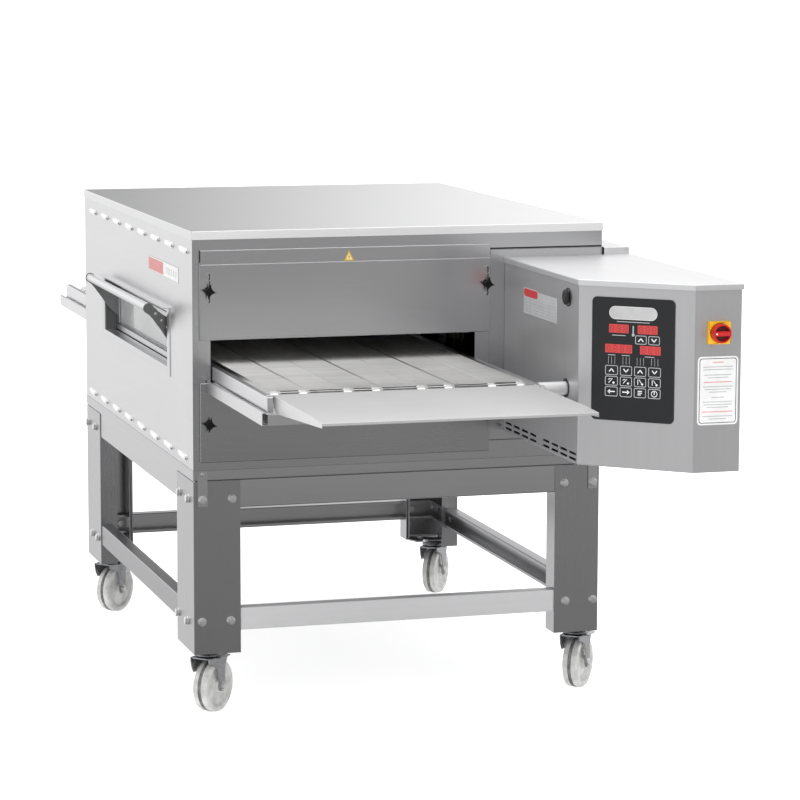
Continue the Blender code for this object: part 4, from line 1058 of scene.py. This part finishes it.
def make_badge():
    x = -0.05
    piece("badge_border", [prism(round_rect(146.0, 480.0, -134.0, -99.0, 3.0), "X",
                                 x - 0.5, x)], LABEL_WHITE)
    outline = [frame_prism(rect(145.0, 481.0, -135.0, -98.0), rect(147.0, 479.0, -133.4, -99.6),
                           "X", x - 0.7, x - 0.02)]
    piece("badge_outline", outline, BADGE_PRINT)
    piece("badge_colour_field", [prism(rect(311.0, 476.0, -131.0, -102.0), "X", x - 0.8,
                                       x - 0.51)], BADGE_PINK)
    strokes = [rect(y, y + 9.0, -124.0, -109.0) for y in (165.0, 190.0, 215.0, 240.0, 265.0)]
    piece("badge_grey_bars", [prism(stroke, "X", x - 0.8, x - 0.51) for stroke in strokes],
          BADGE_PRINT)


# ---------------------------------------------------------------- control box
FACE_START = Vector((756.0, -522.0, 0.0))
FACE_END = Vector((961.5, -700.0, 0.0))
FILM_LEFT = 30.0
FILM_TOP = -114.0
FILM_FRONT = 1.5
PRINT = 0.22


def on_face(outline, t0, t1, inner=None):
    """Flat piece on the slanted face from an outline in (right of, below) the film's corner."""
    along = (FACE_END - FACE_START).normalized()
    out = Vector((along.y, -along.x, 0.0))
    flat = prism(outline, "Y", t0, t1) if inner is None else frame_prism(outline, inner, "Y",
                                                                         t0, t1)
    verts = []
    for right, t, down in flat[0]:
        p = FACE_START + along * (FILM_LEFT + right) + out * t
        verts.append((p.x, p.y, FILM_TOP - down))
    return verts, flat[1]


def printed(outline, level=1, inner=None):
    """Printed shape on the film; level 2 lies on level 1."""
    base = FILM_FRONT + PRINT * (level - 1)
    return on_face(outline, base + 0.02, base + PRINT, inner)


def bar(u0, v0, u1, v1, w):
    """Straight stroke of width w between two points."""
    d = Vector((u1 - u0, v1 - v0)).normalized() * (w / 2.0)
    return [(u0 - d.y - d.x, v0 + d.x - d.y), (u1 - d.y + d.x, v1 + d.x + d.y),
            (u1 + d.y + d.x, v1 - d.x + d.y), (u0 + d.y - d.x, v0 - d.x - d.y)]


KEY_COLUMNS = ((34.0, 64.0), (69.0, 97.0), (102.0, 130.0), (135.0, 164.0))
KEY_ROWS = ((149.5, 171.0), (173.5, 194.5), (197.0, 218.5))
DISPLAYS = ((42.0, 88.0, 58.0, 77.0, 3), (109.0, 155.0, 58.0, 77.0, 3),
            (33.5, 96.5, 102.5, 121.5, 4), (115.0, 163.0, 103.0, 122.0, 3))
DIGIT_W = 8.0
DIGIT_H = 12.5
SEGMENT = 1.5


def digit(u, v):
    """Seven segments of one display digit, its top left corner at (u, v)."""
    mid = v + DIGIT_H / 2.0
    end = v + DIGIT_H
    inset = SEGMENT
    strokes = [(u + inset, v, u + DIGIT_W - inset, v), (u + inset, mid, u + DIGIT_W - inset, mid),
               (u + inset, end, u + DIGIT_W - inset, end), (u, v + inset, u, mid - inset),
               (u, mid + inset, u, end - inset), (u + DIGIT_W, v + inset, u + DIGIT_W, mid - inset),
               (u + DIGIT_W, mid + inset, u + DIGIT_W, end - inset)]
    return [printed(bar(*s, SEGMENT * 0.6), 2) for s in strokes]


def key_icon(row, column, u, v):
    """White mark of one key, centred on (u, v)."""
    if row == 0:
        rise = -3.0 if column % 2 == 0 else 3.0
        return [bar(u - 5.0, v - rise, u, v + rise, 2.2), bar(u, v + rise, u + 5.0, v - rise, 2.2)]
    if row == 1:
        marks = [circle(u + 5.0, v + 4.0, 2.4, 16)]
        if column < 2:
            marks.append(bar(u - 6.0, v + 4.0, u + 2.0, v - 5.0, 1.4))
            marks.append(bar(u - 7.0, v - 3.0, u - 2.0, v - 5.0, 1.4))
        else:
            marks.append(bar(u - 5.0, v - 5.5, u - 5.0, v + 4.5, 1.4))
            marks.append(bar(u - 2.0, v - 5.5, u + 2.5, v + 1.0, 1.4))
        return marks
    if column < 2:
        tip = -9.0 if column == 0 else 9.0
        return [bar(u - 7.0, v, u + 7.0, v, 2.4),
                [(u + tip, v), (u + tip * 0.35, v - 5.0), (u + tip * 0.35, v + 5.0)]]
    if column == 2:
        return [bar(u - 4.0, v - 4.0, u + 4.0, v - 4.0, 2.0), bar(u - 4.0, v, u + 4.0, v, 2.0),
                bar(u - 4.0, v + 4.0, u + 1.0, v + 4.0, 2.0)]
    return [bar(u, v - 6.0, u, v + 1.0, 1.8)]


def make_keypad():
    windows = []
    segments = []
    for u0, u1, v0, v1, digits in DISPLAYS:
        windows.append(printed(round_rect(u0, u1, v0, v1, 1.2, 3)))
        gap = (u1 - u0) / digits
        for i in range(digits):
            segments += digit(u0 + gap * (i + 0.5) - DIGIT_W / 2.0, (v0 + v1 - DIGIT_H) / 2.0)
    piece("display_windows", windows, DARK_RED)
    piece("display_segments", segments, LIT_RED)

    rings = []
    faces = []
    icons = []
    cells = [(r, c, u0, u1, v0, v1) for r, (v0, v1) in enumerate(KEY_ROWS)
             for c, (u0, u1) in enumerate(KEY_COLUMNS)]
    cells += [(0, 0, 103.5, 130.0, 80.5, 100.0), (0, 1, 134.0, 160.5, 80.5, 100.0)]
    for row, column, u0, u1, v0, v1 in cells:
        rings.append(printed(round_rect(u0, u1, v0, v1, 3.4), 1,
                             round_rect(u0 + 1.5, u1 - 1.5, v0 + 1.5, v1 - 1.5, 2.2)))
        faces.append(printed(round_rect(u0 + 1.7, u1 - 1.7, v0 + 1.7, v1 - 1.7, 2.0)))
        for mark in key_icon(row, column, (u0 + u1) / 2.0, (v0 + v1) / 2.0):
            icons.append(printed(mark, 2))
        if row == 2 and column == 3:
            mid_u = (u0 + u1) / 2.0
            mid_v = (v0 + v1) / 2.0
            icons.append(printed(circle(mid_u, mid_v, 7.2, 32), 2, circle(mid_u, mid_v, 5.8, 32)))
    for u0, u1 in KEY_COLUMNS:
        for i in range(3):
            u = (u0 + u1) / 2.0 + 7.5 * (i - 1)
            rings.append(printed(bar(u, 130.5, u, 146.0, 0.8)))
    for u0, u1, v in ((50.0, 80.0, 82.5), (41.0, 57.0, 126.5), (73.0, 90.0, 126.5),
                      (127.0, 148.0, 127.0), (61.0, 136.0, 52.0)):
        rings.append(printed(bar(u0, v, u1, v, 1.6)))
    rings.append(printed(circle(98.5, 80.0, 3.4, 20)))
    rings.append(printed(round_rect(97.0, 100.0, 60.0, 78.0, 1.4, 4)))
    piece("key_outlines", rings, PRINT_GREY)
    piece("key_faces", faces, KEY_FACE)
    piece("key_icons", icons, PRINT_WHITE)
    pill = round_rect(43.0, 153.0, 19.0, 46.0, 13.4, 10)
    rim = round_rect(42.2, 153.8, 18.2, 46.8, 14.2, 10)
    piece("overlay_plate", [printed(pill)], PILL_GREY)
    piece("overlay_plate_rim", [printed(rim, 1, pill)], PRINT_WHITE)
    film_edge = round_rect(1.8, 195.2, -1.2, 272.2, 11.0)
    film_line = round_rect(3.4, 193.6, 0.4, 270.6, 9.6)
    piece("keypad_edge", [on_face(film_edge, 0.02, 1.6, film_line)], BLACK,
          bevel=0.3)


RATING_X = 755.95
LABEL_Y = -700.05


def make_labels():
    plate = rect(-377.0, -145.0, -193.0, -136.5)
    piece("rating_plate", [prism(plate, "X", RATING_X - 0.6, RATING_X)], LABEL_GREY,
          bevel=0.15)
    piece("rating_plate_pill", [prism(round_rect(-245.0, -147.0, -153.0, -134.5, 8.0), "X",
                                      RATING_X - 1.0, RATING_X - 0.61)], BADGE_RED)
    piece("rating_plate_pill_rim",
          [frame_prism(round_rect(-246.6, -145.4, -154.6, -132.9, 9.6),
                       round_rect(-245.0, -147.0, -153.0, -134.5, 8.0), "X", RATING_X - 0.95,
                       RATING_X - 0.61)], LABEL_WHITE)
    rows = []
    for i in range(5):
        z = -158.5 - 7.0 * i
        for y0, y1 in ((-366.0, -300.0), (-292.0, -212.0), (-204.0, -156.0)):
            rows.append(prism(rect(y0, y1, z - 0.7, z + 0.7), "X", RATING_X - 0.85,
                              RATING_X - 0.61))
    piece("rating_plate_rows", rows, PRINT_GREY)

    outer = round_rect(968.0, 1063.0, -386.0, -235.0, 9.0)
    line = round_rect(972.0, 1059.0, -382.0, -239.0, 6.0)
    inner = round_rect(973.4, 1057.6, -380.6, -240.4, 5.0)
    piece("notice_label", [prism(outer, "Y", LABEL_Y - 0.6, LABEL_Y)], LABEL_WHITE,
          bevel=0.15)
    piece("notice_label_line", [frame_prism(line, inner, "Y", LABEL_Y - 0.85, LABEL_Y - 0.61)],
          PRINT_DARK)
    grey = []
    red = []
    rows = ((0, "r", 26.0), (1, "g", 70.0), (1.6, "g", 70.0), (2.8, "g", 64.0), (3.4, "g", 48.0),
            (4.4, "r", 66.0), (5.4, "g", 70.0), (6.0, "g", 62.0), (6.6, "g", 40.0),
            (7.8, "g", 30.0), (8.8, "g", 70.0), (9.4, "g", 66.0), (10.0, "g", 50.0),
            (11.0, "r", 72.0), (12.0, "g", 70.0), (12.6, "g", 40.0))
    for place_down, colour, width in rows:
        z = -248.0 - 9.9 * place_down
        strip = prism(rect(1015.5 - width / 2.0, 1015.5 + width / 2.0, z - 0.9, z + 0.9), "Y",
                      LABEL_Y - 0.8, LABEL_Y - 0.61)
        (red if colour == "r" else grey).append(strip)
    piece("notice_grey_bars", grey, PRINT_GREY)
    piece("notice_red_bars", red, PINK)


def make_controls():
    x = mid("isolator_knob").x
    z = mid("isolator_knob").z
    base = high("isolator_knob").y
    dial = turned([(21.0, base), (21.0, base - 18.0), (20.2, base - 19.4), (18.6, base - 20.0),
                   (17.6, base - 19.6), (17.0, base - 18.4), (16.6, base - 10.6),
                   (2.0, base - 10.4)], "Y", x, z, 56)
    grip = []
    for shrink, y0, y1 in ((0.0, base - 22.0, base - 10.0), (0.8, base - 23.8, base - 22.0),
                           (2.0, base - 24.6, base - 23.8)):
        grip.append(prism(round_rect(x - 20.5 + shrink, x + 16.5 - shrink, z - 5.4 + shrink,
                                     z + 5.4 - shrink, 3.2, 6), "Y", y0, y1))
    ridges = []
    for i in range(24):
        a = math.tau * i / 24
        ridges.append(prism(circle(x + 20.6 * math.cos(a), z + 20.6 * math.sin(a), 1.1, 8), "Y",
                            base - 17.2, base - 0.4))
    piece("isolator_dial", [dial] + grip + ridges, RED, "isolator",
          ("isolator_knob",), bevel=0.35)
    pointer = [(x - 19.0, z), (x - 14.5, z - 2.4), (x - 14.5, z + 2.4)]
    # Painted shade: a dark red ring on the recess floor of the dial stands in for the shade there.
    shade_ring = bore([(5.0, base - 10.5), (16.4, base - 10.7), (16.4, base - 11.0),
                       (5.0, base - 10.8)], "Y", x, z, 48)
    piece("isolator_recess_shade", [shade_ring], RECESS_SHADE_RED, "isolator")
    piece("isolator_pointer", [prism(pointer, "Y", base - 24.9, base - 24.62)], PRINT_WHITE,
          "isolator")
    plate_low = low("isolator_plate")
    plate_high = high("isolator_plate")
    ring = round_rect(plate_low.x, plate_high.x, plate_low.z, plate_high.z, 4.0)
    hole = circle(x, z, 22.0, len(ring), math.radians(45.0))
    piece("isolator_escutcheon", [frame_prism(ring, hole, "Y", plate_low.y - 1.4,
                                              plate_low.y - 0.02)],
          YELLOW, bevel=0.3)

    y = mid("reset_button").y
    z = mid("reset_button").z
    face = low("reset_button").x
    back = high("reset_button").x
    cap = turned([(9.4, back), (9.4, face + 6.6), (16.4, face + 6.5), (17.0, face + 5.9),
                  (17.0, face + 2.6), (16.0, face + 1.6), (13.4, face + 1.5),
                  (12.8, face + 0.2), (11.6, face), (1.5, face + 0.5)], "X", y, z, 48)
    piece("reset_cap", [cap], BLACK, "reset", ("reset_button",))
    collar = bore([(18.0, 755.9), (21.0, 755.9), (21.0, 754.8), (20.2, 754.0), (18.6, 754.0),
                   (18.0, 754.8)], "X", y, z, 48)
    grommet = bore([(17.6, 757.0), (21.5, 755.9), (21.5, 754.6), (19.0, 754.0), (17.6, 754.8)],
                   "X", mid("drive_shaft").y, mid("drive_shaft").z, 48)
    piece("reset_collar", [collar], BLACK)
    piece("shaft_grommet", [grommet], BLACK)


# ---------------------------------------------------------------- castors
CASTOR_TURN = {"front_left": 45.0, "front_right": 50.0, "rear_left": 43.0, "rear_right": 53.0}
CASTOR_X = {"left": 42.0, "right": 958.0}
CASTOR_Y = {"front": 42.0, "rear": 1220.0}
TRAIL = 22.0
BLADE_GAP = 23.5
BLADE_T = 3.0
LEG_R = 12.5


def castor_fork(cx, cy, top, wheel_z):
    """Pressed fork: crown plate, arched cheeks over the wheel and two straight legs."""
    wheel_x = cx + TRAIL
    crown_top = top - 12.0
    half = BLADE_GAP + BLADE_T
    leg = [(wheel_x + LEG_R * math.cos(math.radians(a)), wheel_z + LEG_R * math.sin(math.radians(a)))
           for a in range(0, -181, -15)]
    blade = [(cx - 36.0, crown_top), (cx + 46.0, crown_top), (cx + 46.0, crown_top - 8.0),
             (cx + 41.0, crown_top - 17.0), (wheel_x + LEG_R + 1.0, crown_top - 30.0)]
    blade += leg
    blade.append((wheel_x - LEG_R - 1.0, crown_top - 50.0))
    arch = [(wheel_x - LEG_R - 6.0, crown_top - 38.0), (cx - 2.0, crown_top - 26.0),
            (cx - 18.0, crown_top - 17.0), (cx - 36.0, crown_top - 11.0)]
    flap = [(wheel_x - LEG_R - 6.0, crown_top - 44.0), (cx - 8.0, crown_top - 39.0),
            (cx - 24.0, crown_top - 38.0), (cx - 32.0, crown_top - 24.0),
            (cx - 36.0, crown_top - 8.0)]
    parts = []
    for side, cheek in ((-1.0, arch), (1.0, flap)):
        y0 = cy + side * BLADE_GAP
        parts.append(prism(blade + cheek, "Y", min(y0, y0 + side * BLADE_T),
                           max(y0, y0 + side * BLADE_T)))
    parts.append(prism(round_rect(cx - 36.0, cx + 46.0, cy - half, cy + half, 9.0), "Z",
                       crown_top - 3.2, crown_top))
    parts.append(prism(round_rect(cx - 12.0, cx + 42.0, cy - half - 13.0, cy - half + 3.0, 7.0),
                       "Z", crown_top - 2.6, crown_top - 0.4))
    parts.append(turned([(26.0, crown_top), (30.0, crown_top + 2.0), (30.5, crown_top + 5.0),
                         (28.0, crown_top + 8.5), (24.0, crown_top + 11.7)], "Z", cx, cy, 40))
    parts.append(prism(circle(cx, cy, 10.0, 6), "Z", crown_top - 9.0, crown_top - 3.2))
    return parts


def axle_nuts(cx, cy, wheel_z):
    parts = []
    for side in (-1.0, 1.0):
        y0 = cy + side * (BLADE_GAP + BLADE_T)
        y1 = y0 + side * 1.6
        y2 = y1 + side * 4.4
        parts.append(bore([(6.2, y0), (10.5, y0), (10.5, y1), (6.2, y1)], "Y", cx + TRAIL,
                          wheel_z, 28))
        parts.append(prism(circle(cx + TRAIL, wheel_z, 7.6, 6, 0.4), "Y", min(y1, y2),
                           max(y1, y2)))
    return parts


def castor_wheel(cx, cy, wheel_z, radius):
    """Moulded wheel: flat tread, rounded shoulders, dished disc and a stepped hub."""
    half = [(6.6, 22.0), (14.0, 22.0), (15.0, 21.0), (16.2, 14.6), (18.0, 13.4), (30.0, 12.0),
            (43.0, 12.6), (46.0, 14.0), (48.0, 17.4), (50.0, 18.8), (54.0, 19.0), (58.6, 18.4),
            (60.9, 17.0), (radius - 0.4, 14.0), (radius - 0.4, 0.0)]
    profile = [(r, cy + d) for r, d in half]
    profile += [(r, cy - d) for r, d in reversed(half[:-1])]
    return [bore(profile, "Y", cx + TRAIL, wheel_z, 72)]


def tread_track(cx, cy, wheel_z, radius):
    """Dirty running track round the middle of the tread."""
    profile = [(radius - 1.0, cy - 4.4), (radius - 0.3, cy - 4.4), (radius - 0.1, cy - 3.4),
               (radius - 0.1, cy + 3.4), (radius - 0.3, cy + 4.4), (radius - 1.0, cy + 4.4)]
    return [bore(profile, "Y", cx + TRAIL, wheel_z, 72)]


def make_castors():
    for end, cy in CASTOR_Y.items():
        for side, cx in CASTOR_X.items():
            name = "%s_%s" % (end, side)
            fork = name + "_castor_fork"
            wheel = name + "_castor_wheel"
            top = high(fork).z
            hub_z = mid(wheel).z
            radius = high(wheel).z - hub_z
            for ending, solids, mat, slot, body, instead_of, bevel in (
                    ("_pressed_fork", castor_fork(cx, cy, top, hub_z), FORK_ZINC, "zinc_plate",
                     "_swivel", (fork,), 0.5),
                    ("_axle_nuts", axle_nuts(cx, cy, hub_z), BOLT_STEEL, "zinc_plate",
                     "_swivel", (), 0.4),
                    ("_moulded_wheel", castor_wheel(cx, cy, hub_z, radius), NYLON, "white_nylon",
                     "_wheel", (wheel,), 0.0),
                    ("_tread_track", tread_track(cx, cy, hub_z, radius), TREAD, "white_nylon",
                     "_wheel", (), 0.0)):
                spun = [turned_z(solid, cx, cy, CASTOR_TURN[name]) for solid in solids]
                piece(name + ending, spun, mat, name + body, instead_of, bevel)
            nut_z = top + 4.6
            nuts = [prism(circle(cx + dx, cy + dy, 7.4, 6), "Z", nut_z, nut_z + 6.2)
                    for dx in (-30.0, 30.0) for dy in (-28.0, 28.0)]
            piece(name + "_plate_nuts", nuts, BOLT_STEEL, bevel=0.4)


make_camera()
make_studio()
make_sheets()
make_belt()
make_shafts()
make_nose_gap_shades()
make_stand_bolts()
make_straps()
make_louvres()
make_roof_band()
make_panel_screws()
make_slots()
make_hood_details()
make_knobs()
make_door()
make_badge()
make_keypad()
make_labels()
make_controls()
make_castors()
